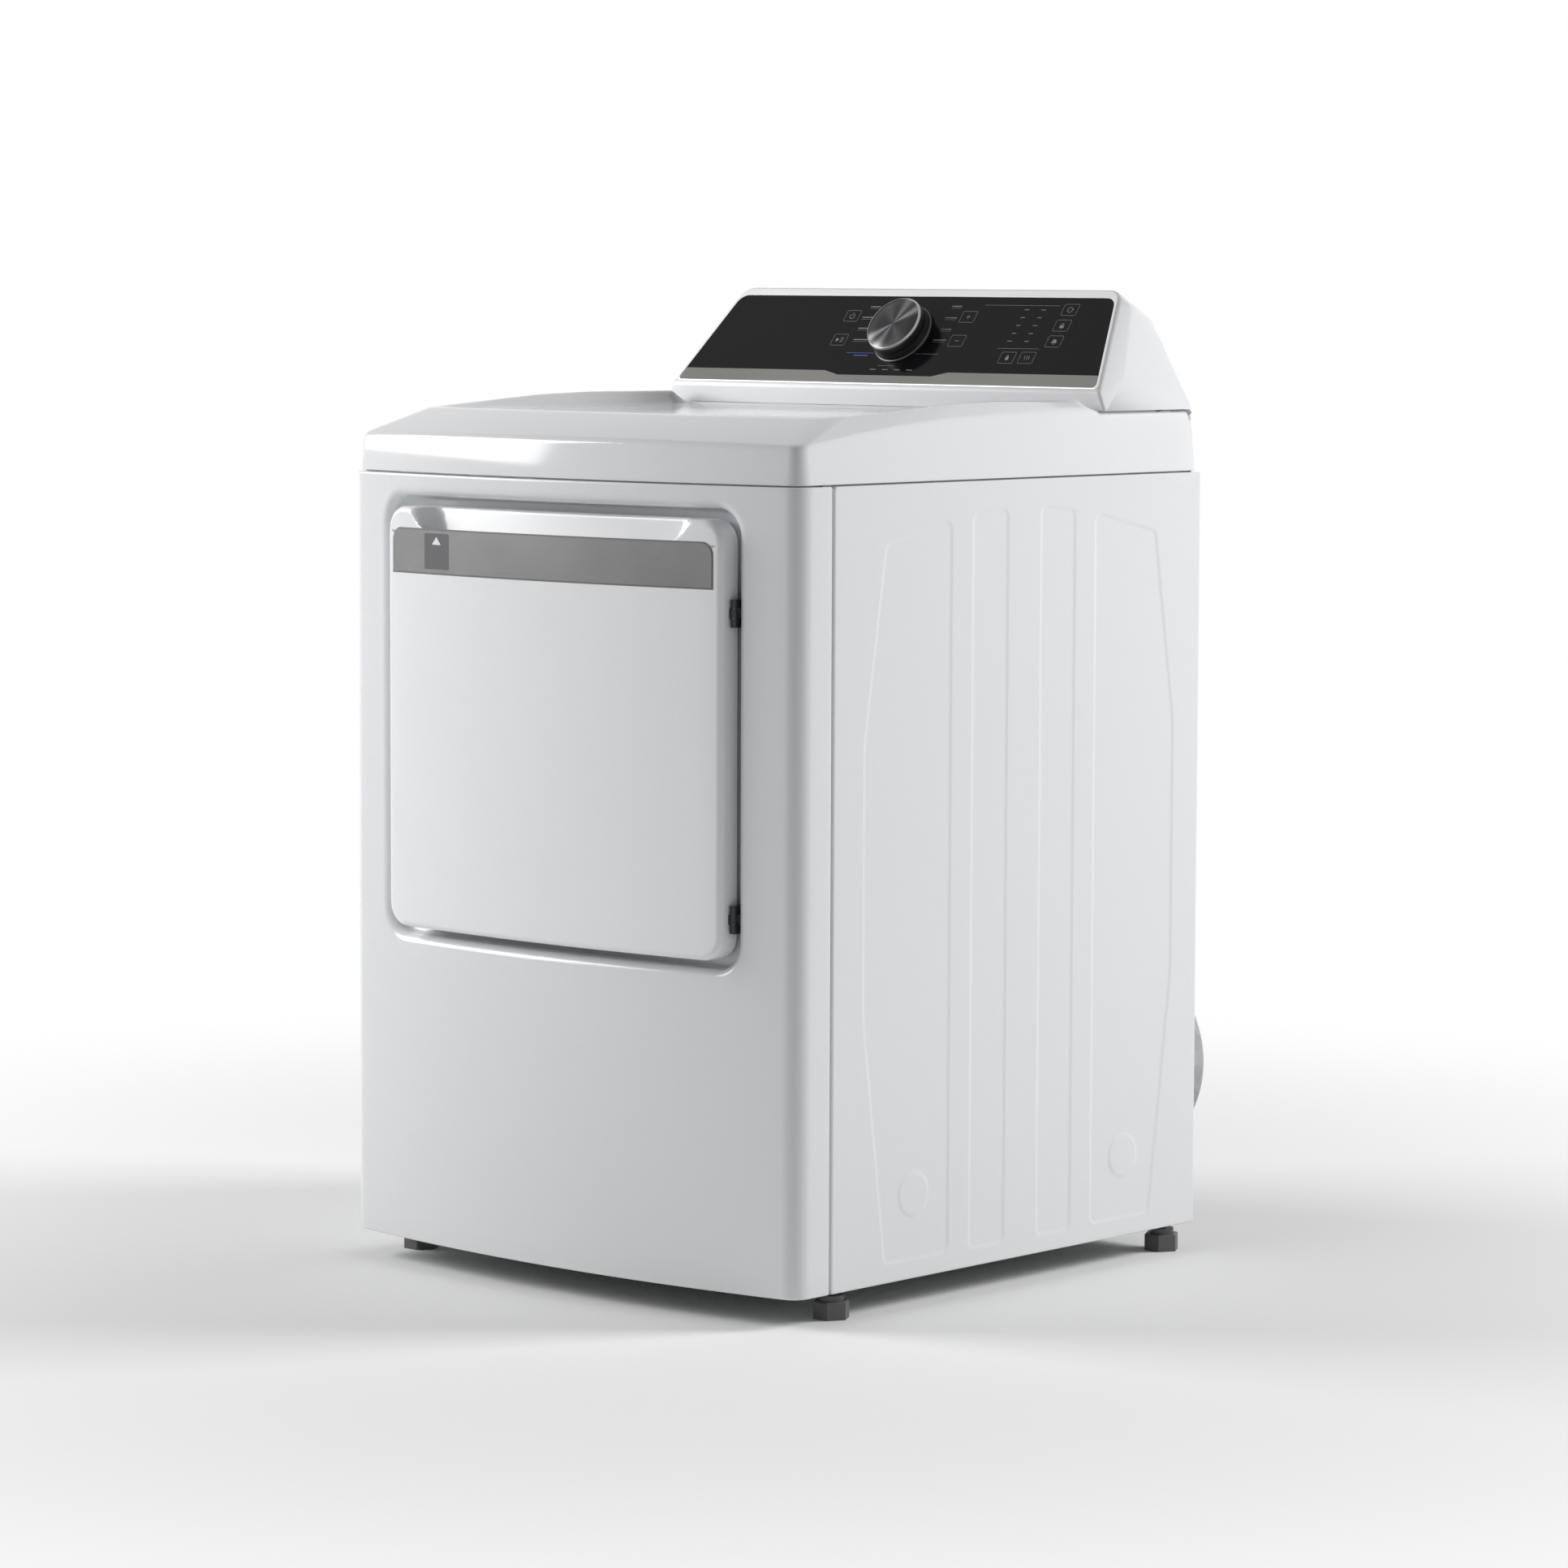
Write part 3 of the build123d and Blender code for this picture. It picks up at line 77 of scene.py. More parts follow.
class Graph:
    """The node tree of a material or the world, with short ways to add to it."""

    def __init__(self, owner: Union[bpy.types.Material, bpy.types.World]) -> None:
        """Opens the node tree of a material or the world."""
        owner.use_nodes = True
        self.tree = owner.node_tree

    def feed(self, node: bpy.types.Node, inputs: Inputs) -> None:
        """Sets or links the inputs of a node.

        Args:
            node: The node.
            inputs: Value or source of each input, by its name or number.
        """
        for key, value in inputs.items():
            if isinstance(value, Socket):
                self.tree.links.new(value, node.inputs[key])
            else:
                node.inputs[key].default_value = value

    def node(self, kind: str, output: str, inputs: Optional[Inputs] = None, **settings: str) -> Socket:
        """Adds a node.

        Args:
            kind: Type of the node.
            output: Name of the output that is handed on.
            inputs: Value or source of each input, by its name or number.
            settings: Properties of the node.

        Returns:
            The socket of that output.
        """
        made = self.tree.nodes.new("ShaderNode" + kind)
        for name, value in settings.items():
            setattr(made, name, value)
        self.feed(made, inputs or {})
        return made.outputs[output]

    def math(self, operation: str, *values: Union[float, Socket]) -> Socket:
        """Adds a math node."""
        return self.node("Math", "Value", dict(enumerate(values)), operation=operation)

    def ramp(self, share: Socket, low: Colour, high: Colour, stops: Pair = (0.0, 1.0)) -> Socket:
        """Adds a ramp between two colours.

        Args:
            share: Where on the ramp a point is.
            low: Linear colour at the first stop.
            high: Linear colour at the second stop.
            stops: Places of the two stops.

        Returns:
            The socket of the colour.
        """
        made = self.tree.nodes.new("ShaderNodeValToRGB")
        for element, colour, stop in zip(tuple(made.color_ramp.elements), (low, high), stops):
            element.position, element.color = stop, (*colour, 1.0)
        self.tree.links.new(share, made.inputs["Fac"])
        return made.outputs["Color"]

    def show(self, share: Socket, first: Socket, second: Socket, output: str) -> None:
        """Shows a mix of two shaders on the named output node."""
        mix = self.node("MixShader", "Shader", {"Fac": share, 1: first, 2: second})
        self.tree.links.new(mix, self.tree.nodes[output].inputs["Surface"])


@dataclass(frozen=True)
class Texture:
    """Scale of the pattern behind a grain.

    Args:
        stretch: Scale of the pattern along X, Y and Z, per metre.
        depth: Height of the bump, in metres.
        detail: Octaves of the noise.
    """

    stretch: Tuple[float, float, float]
    depth: float
    detail: float = 3.0


class Grain(Enum):
    """Fine surface detail that a finish can carry."""

    ENAMEL = Texture((170.0, 170.0, 170.0), 0.000012, 2.0)
    MOULDED = Texture((900.0, 900.0, 900.0), 0.00004)
    BRUSHED = Texture((9.0, 900.0, 2600.0), 0.00003, 4.0)
    SPUN = Texture((1.0, 1.0, 1.0), 0.00001, 2.0)
    SPANGLE = Texture((70.0, 70.0, 70.0), 0.00002, 2.0)
    ROLLED = Texture((260.0, 40.0, 260.0), 0.00002)
    FELT = Texture((1400.0, 1400.0, 1400.0), 0.0004, 6.0)
    RUBBER = Texture((600.0, 600.0, 600.0), 0.00008, 4.0)
    PRINT = Texture((1500.0, 1500.0, 1500.0), 0.00001, 2.0)


@dataclass(frozen=True)
class Finish:
    """One finish of the dryer, made as a procedural material.

    Args:
        name: Name of the material.
        shade: Linear base colour.
        grain: Kind of fine detail.
        roughness: Middle roughness.
        metallic: 1 for bare metal, 0 for paint and plastic.
        rough_spread: How far the roughness wanders from its middle.
        tint_spread: How far the colour wanders, as a share of it.
        bump: Strength of the bump.
        coat: Weight of a clear coat.
        specular: Specular level of the shader.
    """

    name: str
    shade: Colour
    grain: Grain
    roughness: float
    metallic: float = 0.0
    rough_spread: float = 0.05
    tint_spread: float = 0.04
    bump: float = 0.3
    coat: float = 0.0
    specular: float = 0.5

    def material(self) -> bpy.types.Material:
        """Makes the material, or finds it where it is made already.

        Returns:
            The material of this finish.
        """
        known = bpy.data.materials.get(self.name)
        if known is not None:
            return known
        made = bpy.data.materials.new(self.name)
        graph = Graph(made)
        fine, broad = self.pattern(graph), self.clouds(graph)
        graph.feed(graph.tree.nodes["Principled BSDF"], {
            "Metallic": self.metallic, "Coat Weight": self.coat, "Coat Roughness": COAT_ROUGHNESS,
            "Specular IOR Level": self.specular, "Base Color": self.colour(graph, fine, broad),
            "Roughness": self.gloss(graph, fine, broad), "Normal": self.relief(graph, fine)})
        return made

    def pattern(self, graph: Graph) -> Socket:
        """Makes the fine pattern of the grain.

        Args:
            graph: Nodes of the material.

        Returns:
            The socket that gives the pattern, from 0 to 1.
        """
        texture = self.grain.value
        place = graph.node("Mapping", "Vector", {"Vector": graph.node("TexCoord", "Object"), "Scale": texture.stretch})
        if self.grain is Grain.SPUN:
            rings = {"Vector": place, "Scale": RINGS_PER_METRE, "Distortion": RING_WOBBLE, "Detail": texture.detail}
            return graph.node("TexWave", "Fac", rings, wave_type="RINGS", rings_direction="Z")
        if self.grain is Grain.SPANGLE:
            cells = graph.node("TexVoronoi", "Color", {"Vector": place, "Scale": 1.0, "Randomness": 1.0})
            return graph.node("RGBToBW", "Val", {"Color": cells})
        noise = {"Vector": place, "Scale": 1.0, "Detail": texture.detail, "Roughness": NOISE_ROUGHNESS}
        return graph.node("TexNoise", "Fac", noise)

    def clouds(self, graph: Graph) -> Socket:
        """Makes the slow variation over the whole piece, from 0 to 1."""
        noise = {"Vector": graph.node("TexCoord", "Object"), "Scale": CLOUDS_PER_METRE, "Detail": 3.0}
        return graph.node("TexNoise", "Fac", noise)

    def tinted(self, share: float) -> Colour:
        """Gives the base colour, lighter or darker by a share."""
        return tuple(min(c * (1.0 + share), 1.0) for c in self.shade)

    def colour(self, graph: Graph, fine: Socket, broad: Socket) -> Socket:
        """Lets the colour wander a little with the grain."""
        blend = graph.math("MULTIPLY_ADD", fine, 0.5, graph.math("MULTIPLY", broad, 0.5))
        return graph.ramp(blend, self.tinted(-self.tint_spread), self.tinted(self.tint_spread), TINT_STOPS)

    def gloss(self, graph: Graph, fine: Socket, broad: Socket) -> Socket:
        """Lets the roughness wander about its middle.

        Args:
            graph: Nodes of the material.
            fine: Fine pattern.
            broad: Slow variation.

        Returns:
            The socket of the roughness.
        """
        low = max(self.roughness - self.rough_spread, LEAST_ROUGHNESS)
        high = min(self.roughness + self.rough_spread, 1.0)
        ends = dict(zip(("From Min", "From Max", "To Min", "To Max"), (*GLOSS_STOPS, low, high)))
        return graph.node("MapRange", "Result", {"Value": graph.math("MULTIPLY", fine, broad), **ends})

    def relief(self, graph: Graph, fine: Socket) -> Socket:
        """Raises the fine pattern as a bump."""
        height = {"Height": fine, "Strength": self.bump, "Distance": self.grain.value.depth}
        return graph.node("Bump", "Normal", height)


@dataclass(frozen=True)
class SpunPaintedStreakFinish(Finish):
    """Metal spun in rings, with highlight streaks from the middle painted into its colour.

    Args:
        painted_streaks: Angle in degrees, narrowness and strength of each pair of painted highlight streaks.
        painted_glint: Linear colour painted at the brightest part of a highlight streak.
        ring_gain: How much the rings show in the colour.
    """

    # Painted highlights: the angles of the streaks and their brightest colour.
    painted_streaks: Tuple[Tuple[float, float, float], ...] = ((74.0, 26.0, 0.55), (38.0, 40.0, 0.9), (128.0, 9.0, 0.16))
    painted_glint: Colour = (0.22, 0.22, 0.225)
    ring_gain: float = 0.06

    def colour(self, graph: Graph, fine: Socket, broad: Socket) -> Socket:
        """Paints highlight streaks into the colour, lighter at fixed angles round the middle.

        Args:
            graph: Nodes of the material.
            fine: Fine pattern.
            broad: Slow variation; not used.

        Returns:
            The socket of the colour.
        """
        coords = graph.node("TexCoord", "Object")
        turn = graph.node("TexGradient", "Fac", {"Vector": coords}, gradient_type="RADIAL")
        total = graph.math("MULTIPLY", fine, self.ring_gain)
        # Each pair of streaks is a painted highlight, fixed in the knob's own coordinates.
        for angle, narrowness, strength in self.painted_streaks:
            wave = graph.math("COSINE", graph.math("MULTIPLY_ADD", turn, 4 * math.pi, -2 * math.radians(angle)))
            painted_streak = graph.math("POWER", graph.math("MULTIPLY_ADD", wave, 0.5, 0.5), narrowness)
            total = graph.math("MULTIPLY_ADD", painted_streak, strength, total)
        return graph.ramp(total, self.shade, self.painted_glint)


CABINET_WHITE = Finish("cabinet_white_enamel", (0.77, 0.785, 0.805), Grain.ENAMEL, 0.2, 0.0, 0.05, 0.01, 0.15, 0.05)
COVER_WHITE = Finish(
    "cover_white_moulding", (0.8, 0.815, 0.835), Grain.ENAMEL, 0.09, 0.0, 0.02, 0.01, 0.005, specular=0.4)
# The cabinet's enamel set lighter for the door: the extra lightness is painted light.
DOOR_WHITE_PAINTED_LIGHTER = Finish("door_white_enamel_painted_lighter", (0.86, 0.875, 0.895), Grain.ENAMEL, 0.18, 0.0, 0.05, 0.01, 0.15, 0.1)
HOUSING_WHITE = Finish("housing_white_moulding", (0.77, 0.785, 0.805), Grain.ENAMEL, 0.32, 0.0, 0.04, 0.01, 0.06)
LINER_WHITE = Finish("liner_white_moulding", (0.76, 0.77, 0.78), Grain.MOULDED, 0.38, tint_spread=0.02)
FRAME_SILVER = Finish("console_silver_frame", (0.8, 0.8, 0.8), Grain.BRUSHED, 0.42, 0.5, 0.05, 0.05, 0.2)
BAND_TAUPE = Finish("console_taupe_band", (0.195, 0.188, 0.178), Grain.BRUSHED, 0.38, 0.85, 0.06, 0.16, 0.35)
CONSOLE_BLACK = Finish(
    "console_black_gloss", (0.006, 0.0062, 0.0075), Grain.PRINT, 0.1, tint_spread=0.1, specular=0.1)
# The knob's face: dark spun metal with painted highlight streaks in its colour.
KNOB_METAL = SpunPaintedStreakFinish("knob_spun_metal_painted_streaks", (0.028, 0.028, 0.03), Grain.SPUN, 0.34, 1.0, 0.04, 0.12, 0.3)
KNOB_SKIRT = Finish("knob_charcoal_skirt", (0.06, 0.06, 0.062), Grain.SPUN, 0.34, 0.9, 0.05, 0.12, 0.2)
KNOB_RING = Finish("knob_bright_chamfer", (0.32, 0.32, 0.32), Grain.SPUN, 0.26, 1.0, 0.04, 0.1, 0.2)
PRINT_GREY = Finish("print_pale_grey", (0.22, 0.22, 0.225), Grain.PRINT, 0.5, tint_spread=0.08)
PRINT_WHITE = Finish("print_white", (0.78, 0.78, 0.78), Grain.PRINT, 0.5)
PRINT_BLUE = Finish("print_blue", (0.045, 0.11, 0.45), Grain.PRINT, 0.5, tint_spread=0.08)
LABEL_GREY = Finish("label_dark_grey", (0.07, 0.068, 0.075), Grain.MOULDED, 0.45, tint_spread=0.08)
STRIP_GREY = Finish("strip_grey_brushed", (0.175, 0.174, 0.176), Grain.BRUSHED, 0.38, 0.85, 0.07, 0.18, 0.35)
GALVANISED = Finish("galvanised_sheet", (0.46, 0.48, 0.49), Grain.SPANGLE, 0.42, 0.75, 0.1, 0.14, 0.2)
DRUM_STEEL = Finish("drum_steel", (0.55, 0.55, 0.54), Grain.ROLLED, 0.3, 1.0, 0.06, 0.08, 0.3)
BAFFLE_GREY = Finish("baffle_grey_moulding", (0.33, 0.34, 0.36), Grain.MOULDED, 0.45, tint_spread=0.06)
FELT_GREY = Finish("seal_felt", (0.28, 0.27, 0.255), Grain.FELT, 0.95, tint_spread=0.25, bump=0.8, specular=0.1)
SEAL_GREY = Finish("door_seal_rubber", (0.17, 0.175, 0.18), Grain.RUBBER, 0.6, tint_spread=0.1)
BLACK_METAL = Finish("black_coated_metal", (0.022, 0.022, 0.024), Grain.MOULDED, 0.42, 0.2, 0.08, 0.2)
BRIGHT_STEEL = Finish("bright_steel", (0.6, 0.59, 0.57), Grain.ROLLED, 0.27, 1.0, 0.08, 0.08)
HEATER_WIRE = Finish("heater_wire", (0.16, 0.13, 0.115), Grain.ROLLED, 0.5, 1.0, 0.1, 0.25)
BLACK_PLASTIC = Finish("black_moulding", (0.095, 0.095, 0.098), Grain.MOULDED, 0.48, tint_spread=0.15)
BLACK_RUBBER = Finish("black_rubber", (0.018, 0.018, 0.018), Grain.RUBBER, 0.75, tint_spread=0.2)
BOARD_GREEN = Finish("board_green", (0.02, 0.13, 0.055), Grain.PRINT, 0.4, tint_spread=0.2)

SLOT_FINISHES: Dict[str, Finish] = {
    "cabinet_white": CABINET_WHITE, "cover_white": COVER_WHITE, "liner_white": LINER_WHITE,
    "console_silver": FRAME_SILVER, "console_black": CONSOLE_BLACK, "knob_metal": KNOB_METAL,
    "strip_grey": STRIP_GREY, "galvanised": GALVANISED, "drum_steel": DRUM_STEEL, "baffle_grey": BAFFLE_GREY,
    "felt_grey": FELT_GREY, "seal_grey": SEAL_GREY, "black_metal": BLACK_METAL, "bright_steel": BRIGHT_STEEL,
    "heater_wire": HEATER_WIRE, "black_plastic": BLACK_PLASTIC, "black_rubber": BLACK_RUBBER,
    "board_green": BOARD_GREEN,
}


def smooth(share: np.ndarray) -> np.ndarray:
    """Turns a share from 0 to 1 into a soft step."""
    share = np.clip(share, 0.0, 1.0)
    return share * share * (3.0 - 2.0 * share)


def span(node: str, axis: int) -> Pair:
    """Gives the reach of a CAD node along an axis, in millimetres."""
    low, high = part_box(node)
    return low[axis] / MM, high[axis] / MM


def line(start: Pair, end: Pair, steps: int) -> List[Pair]:
    """Divides a straight run into points that stop short of its end."""
    return [tuple(np.array(start) + (np.array(end) - np.array(start)) * k / steps) for k in range(steps)]


def arc(centre: Pair, radius: float, first: float, last: float, steps: int) -> List[Pair]:
    """Divides an arc between two angles in degrees into points that stop short of the last."""
    angles = [math.radians(first + (last - first) * k / steps) for k in range(steps)]
    return [(centre[0] + radius * math.cos(a), centre[1] + radius * math.sin(a)) for a in angles]


def around(hub: Pair, radius: float, angle: float) -> Pair:
    """Gives a point round a hub in plan, with the angle from straight ahead towards the right."""
    return hub[0] + radius * math.sin(angle), hub[1] - radius * math.cos(angle)


def roll(radius: float, count: int) -> List[Pair]:
    """Gives points of a quarter roll, as how far each is drawn in and how far it stays below the top."""
    return [(radius * (1 - math.cos(a)), radius * (1 - math.sin(a))) for a in np.linspace(0.0, QUARTER, count)]


def rectangle(u: float, v: float, width: float, height: float) -> List[Pair]:
    """Gives the corners of a rectangle about a point, counter-clockwise."""
    w, h = width / 2, height / 2
    return [(u - w, v - h), (u + w, v - h), (u + w, v + h), (u - w, v + h)]


def rounded_polygon(corners: Sequence[Pair], radii: Sequence[float], grow: float = 0.0, steps: int = 8) -> np.ndarray:
    """Rounds the corners of a polygon.

    Args:
        corners: Corners, counter-clockwise.
        radii: Radius at each corner.
        grow: How far the outline is moved outwards.
        steps: Steps of each corner's arc.

    Returns:
        The outline's points.
    """
    places = np.array(corners, float)
    runs = np.roll(places, -1, axis=0) - places
    runs /= np.linalg.norm(runs, axis=1)[:, None]
    points: List[np.ndarray] = []
    for k, place in enumerate(places):
        before, after = runs[k - 1], runs[k]
        out_before = np.array((before[1], -before[0]))
        out_after = np.array((after[1], -after[0]))
        tip = place + grow * (out_before + out_after) / (1.0 + out_before @ out_after)
        turn = math.atan2(before[0] * after[1] - before[1] * after[0], before @ after)
        side = 1.0 if turn >= 0.0 else -1.0
        radius = max(radii[k] + grow * side, SMALLEST_RADIUS)
        start = tip - before * radius * math.tan(abs(turn) / 2.0)
        centre = start - out_before * radius * side
        x, y = start - centre
        for a in turn * np.arange(steps + 1) / steps:
            points.append(centre + np.array((x * math.cos(a) - y * math.sin(a), x * math.sin(a) + y * math.cos(a))))
    return np.array(points)


def turned_corner(start: np.ndarray, tip: np.ndarray, end: np.ndarray, count: int) -> List[np.ndarray]:
    """Gives points on the soft curve that leaves a corner's tip aside."""
    return [(1 - t) ** 2 * start + 2 * t * (1 - t) * tip + t * t * end for t in np.linspace(0.0, 1.0, count)]


def rounded_path(keys: np.ndarray, radii: Sequence[float], steps: int = 5) -> np.ndarray:
    """Rounds the inner corners of an open path.

    Args:
        keys: Key points of the path.
        radii: Reach of the rounding at each inner key point.
        steps: Steps of each rounding.

    Returns:
        The points of the rounded path.
    """
    points = [keys[0]]
    for before, key, after, radius in zip(keys, keys[1:], keys[2:], radii):
        ends = []
        for run in (before - key, after - key):
            far = max(np.linalg.norm(run), 1e-9)
            ends.append(key + run / far * min(radius, RUN_SHARE * far))
        points += turned_corner(ends[0], key, ends[1], steps + 1)
    return np.array(points + [keys[-1]])


@dataclass(frozen=True)
class Bow:
    """The arc that the front, the cover and the door follow in plan."""

    radius: float = 1820.0
    hub: Pair = (0.0, 1445.0)

    def y(self, x: np.ndarray, proud: float = 0.0) -> np.ndarray:
        """Gives the front's Y at an X, stood proud by some millimetres."""
        return self.hub[1] - np.sqrt((self.radius + proud) ** 2 - np.square(x))

    def placed(self, outline: np.ndarray, proud: float = 0.0, depth: float = 0.0) -> np.ndarray:
        """Puts an outline (X, Z) on the bow, stood proud along its radius and set back along Y."""
        return np.column_stack((outline[:, 0], self.y(outline[:, 0], proud) + depth, outline[:, 1]))

    def corner(self, half_width: float, radius: float, inset: float = 0.0) -> Tuple[float, Pair]:
        """Finds the rounded corner between the bow and a straight side.

        Args:
            half_width: Where the side is.
            radius: Radius of the corner.
            inset: How far the bow is set back.

        Returns:
            The angle at which the corner leaves the bow, and its centre.
        """
        reach = self.radius - inset - radius
        turn = math.asin((half_width - radius) / reach)
        return turn, around(self.hub, reach, turn)


@dataclass(frozen=True)
class Window:
    """A rounded rectangle in the front, with a fixed number of points on each run."""

    half_width: float
    low: float
    high: float
    corner: float
    middle: float = 0.0
    across: int = 48
    up: int = 40
    turn: int = 14

    def ring(self, grow: float = 0.0) -> np.ndarray:
        """Gives the outline, clockwise from its top left.

        Args:
            grow: How far it is moved outwards.

        Returns:
            Points (X, Z).
        """
        radius, x = max(self.corner + grow, SMALLEST_RADIUS), self.half_width - self.corner
        low, high = self.low + self.corner, self.high - self.corner
        hubs = ((-x, high), (x, high), (x, low), (-x, low), (-x, high))
        points: List[Pair] = []
        for k, (before, hub) in enumerate(zip(hubs, hubs[1:])):
            angle = 90 - 90 * k
            out = arc((0.0, 0.0), radius, angle, angle, 1)[0]
            points += line(np.add(before, out), np.add(hub, out), (self.across, self.up)[k % 2])
            points += arc(hub, radius, angle, angle - 90, self.turn)
        return np.array(points) + (self.middle, 0.0)

    def block(self, half_width: float, low: float, high: float) -> np.ndarray:
        """Gives a square outline around it, point for point.

        Args:
            half_width: Half the width of the square outline.
            low: Its lower edge.
            high: Its upper edge.

        Returns:
            Points (X, Z).
        """
        reach, half = self.half_width - self.corner, self.turn // 2
        left, right = self.middle - reach, self.middle + reach
        bottom, top = self.low + self.corner, self.high - self.corner
        stops = [(left, high), (right, high)] + [(half_width, z) for z in (high, top, bottom, low)]
        stops += [(right, low), (left, low)] + [(-half_width, z) for z in (low, bottom, top, high)] + [(left, high)]
        counts = (self.across, half, half, self.up, half, half) * 2
        return np.array([p for run in zip(stops, stops[1:], counts) for p in line(*run)])


@dataclass(frozen=True)
class Piece:
    """What one piece is called, and how it is finished and carried.

    Args:
        name: Name of the piece.
        finish: Its finish.
        body: Body that it rides on.
        slot: Slot of the record that its finish belongs to; not used.
        stands_for: CAD nodes that it replaces.
        facing: For an open sheet, the side that most of it faces.
        wall: Thickness given to an open sheet, in millimetres.
        sharp: Angle from which an edge stays sharp, in degrees.
        place: Where a piece that is built about its own origin goes.
    """

    name: str
    finish: Finish
    body: str
    slot: str
    stands_for: Sequence[str] = ()
    facing: Optional[Point] = None
    wall: float = 0.0
    sharp: float = 38.0
    place: Optional[Matrix] = None

    def settle(self, form: bmesh.types.BMesh) -> None:
        """Makes the piece from its form and lets it ride on its body.

        Args:
            form: The form in metres, which is freed.
        """
        mesh = bpy.data.meshes.new(self.name)
        form.to_mesh(mesh)
        form.free()
        thing = bpy.data.objects.new(self.name, mesh)
        bpy.context.collection.objects.link(thing)
        if self.wall:
            shell = thing.modifiers.new("wall", "SOLIDIFY")
            shell.thickness = self.wall * MM
            shell.offset = -1.0
            mesh = bpy.data.meshes.new_from_object(thing.evaluated_get(bpy.context.evaluated_depsgraph_get()))
            thing.modifiers.clear()
            thing.data = mesh
        mesh.name = self.name
        mesh.shade_smooth()
        mesh.set_sharp_from_angle(angle=math.radians(self.sharp))
        mesh.materials.clear()
        mesh.materials.append(self.finish.material())
        if self.place is not None:
            thing.matrix_world = self.place
        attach(thing, self.body)
        if self.stands_for:
            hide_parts(*self.stands_for)
        LOG.info("built %s on %s", self.name, self.body)


class Skin:
    """Points and faces of one piece, gathered in millimetres."""

    def __init__(self) -> None:
        """Starts with nothing."""
        self.points: List[Tuple[float, ...]] = []
        self.faces: List[Tuple[int, ...]] = []

    def add(self, points: Iterable[Sequence[float]]) -> List[int]:
        """Takes points in and gives their numbers."""
        first = len(self.points)
        self.points.extend(tuple(float(c) for c in p) for p in points)
        return list(range(first, len(self.points)))

    def loft(self, rows: Sequence[np.ndarray], closed: bool = True,
             skip: Callable[[int, int], bool] = lambda row, column: False) -> None:
        """Joins rows of points by faces.

        Args:
            rows: Rows with the same number of points.
            closed: Whether the last point of a row joins the first.
            skip: Tells which faces are left out, by row and column.
        """
        numbers = [self.add(row) for row in rows]
        count = len(numbers[0])
        for r, (first, second) in enumerate(zip(numbers, numbers[1:])):
            for k in range(count if closed else count - 1):
                if not skip(r, k):
                    n = (k + 1) % count
                    self.faces.append((first[k], first[n], second[n], second[k]))

    def fill(self, *loops: np.ndarray) -> None:
        """Fills an outline, less any holes in it.

        Args:
            loops: The outline, then the holes.
        """
        numbers = self.add(p for loop in loops for p in loop)
        shapes = [[Vector(p) for p in loop] for loop in loops]
        self.faces.extend(tuple(numbers[k] for k in face) for face in tessellate_polygon(shapes))

    def plate(self, *stacks: Sequence[np.ndarray]) -> "Skin":
        """Closes stacks of outlines into a plate.

        Args:
            stacks: Outlines of its edge from below, then those of each hole.

        Returns:
            This skin.
        """
        for rows in stacks:
            self.loft(rows)
        for end in (-1, 0):
            self.fill(*[rows[end] for rows in stacks])
        return self

    def make(self, piece: Piece) -> None:
        """Makes the piece from what is gathered.

        Args:
            piece: What the piece is called, and how it is finished and carried.
        """
        mesh = bpy.data.meshes.new("gathered")
        mesh.from_pydata([tuple(MM * c for c in p) for p in self.points], [], self.faces)
        form = bmesh.new()
        form.from_mesh(mesh)
        bpy.data.meshes.remove(mesh)
        bmesh.ops.remove_doubles(form, verts=form.verts, dist=WELD)
        bmesh.ops.dissolve_degenerate(form, dist=WELD, edges=form.edges)
        bmesh.ops.recalc_face_normals(form, faces=form.faces)
        if piece.facing is not None:
            lean = sum((f.normal * f.calc_area() for f in form.faces), Vector())
            if lean.dot(Vector(piece.facing)) < 0.0:
                bmesh.ops.reverse_faces(form, faces=form.faces)
        piece.settle(form)


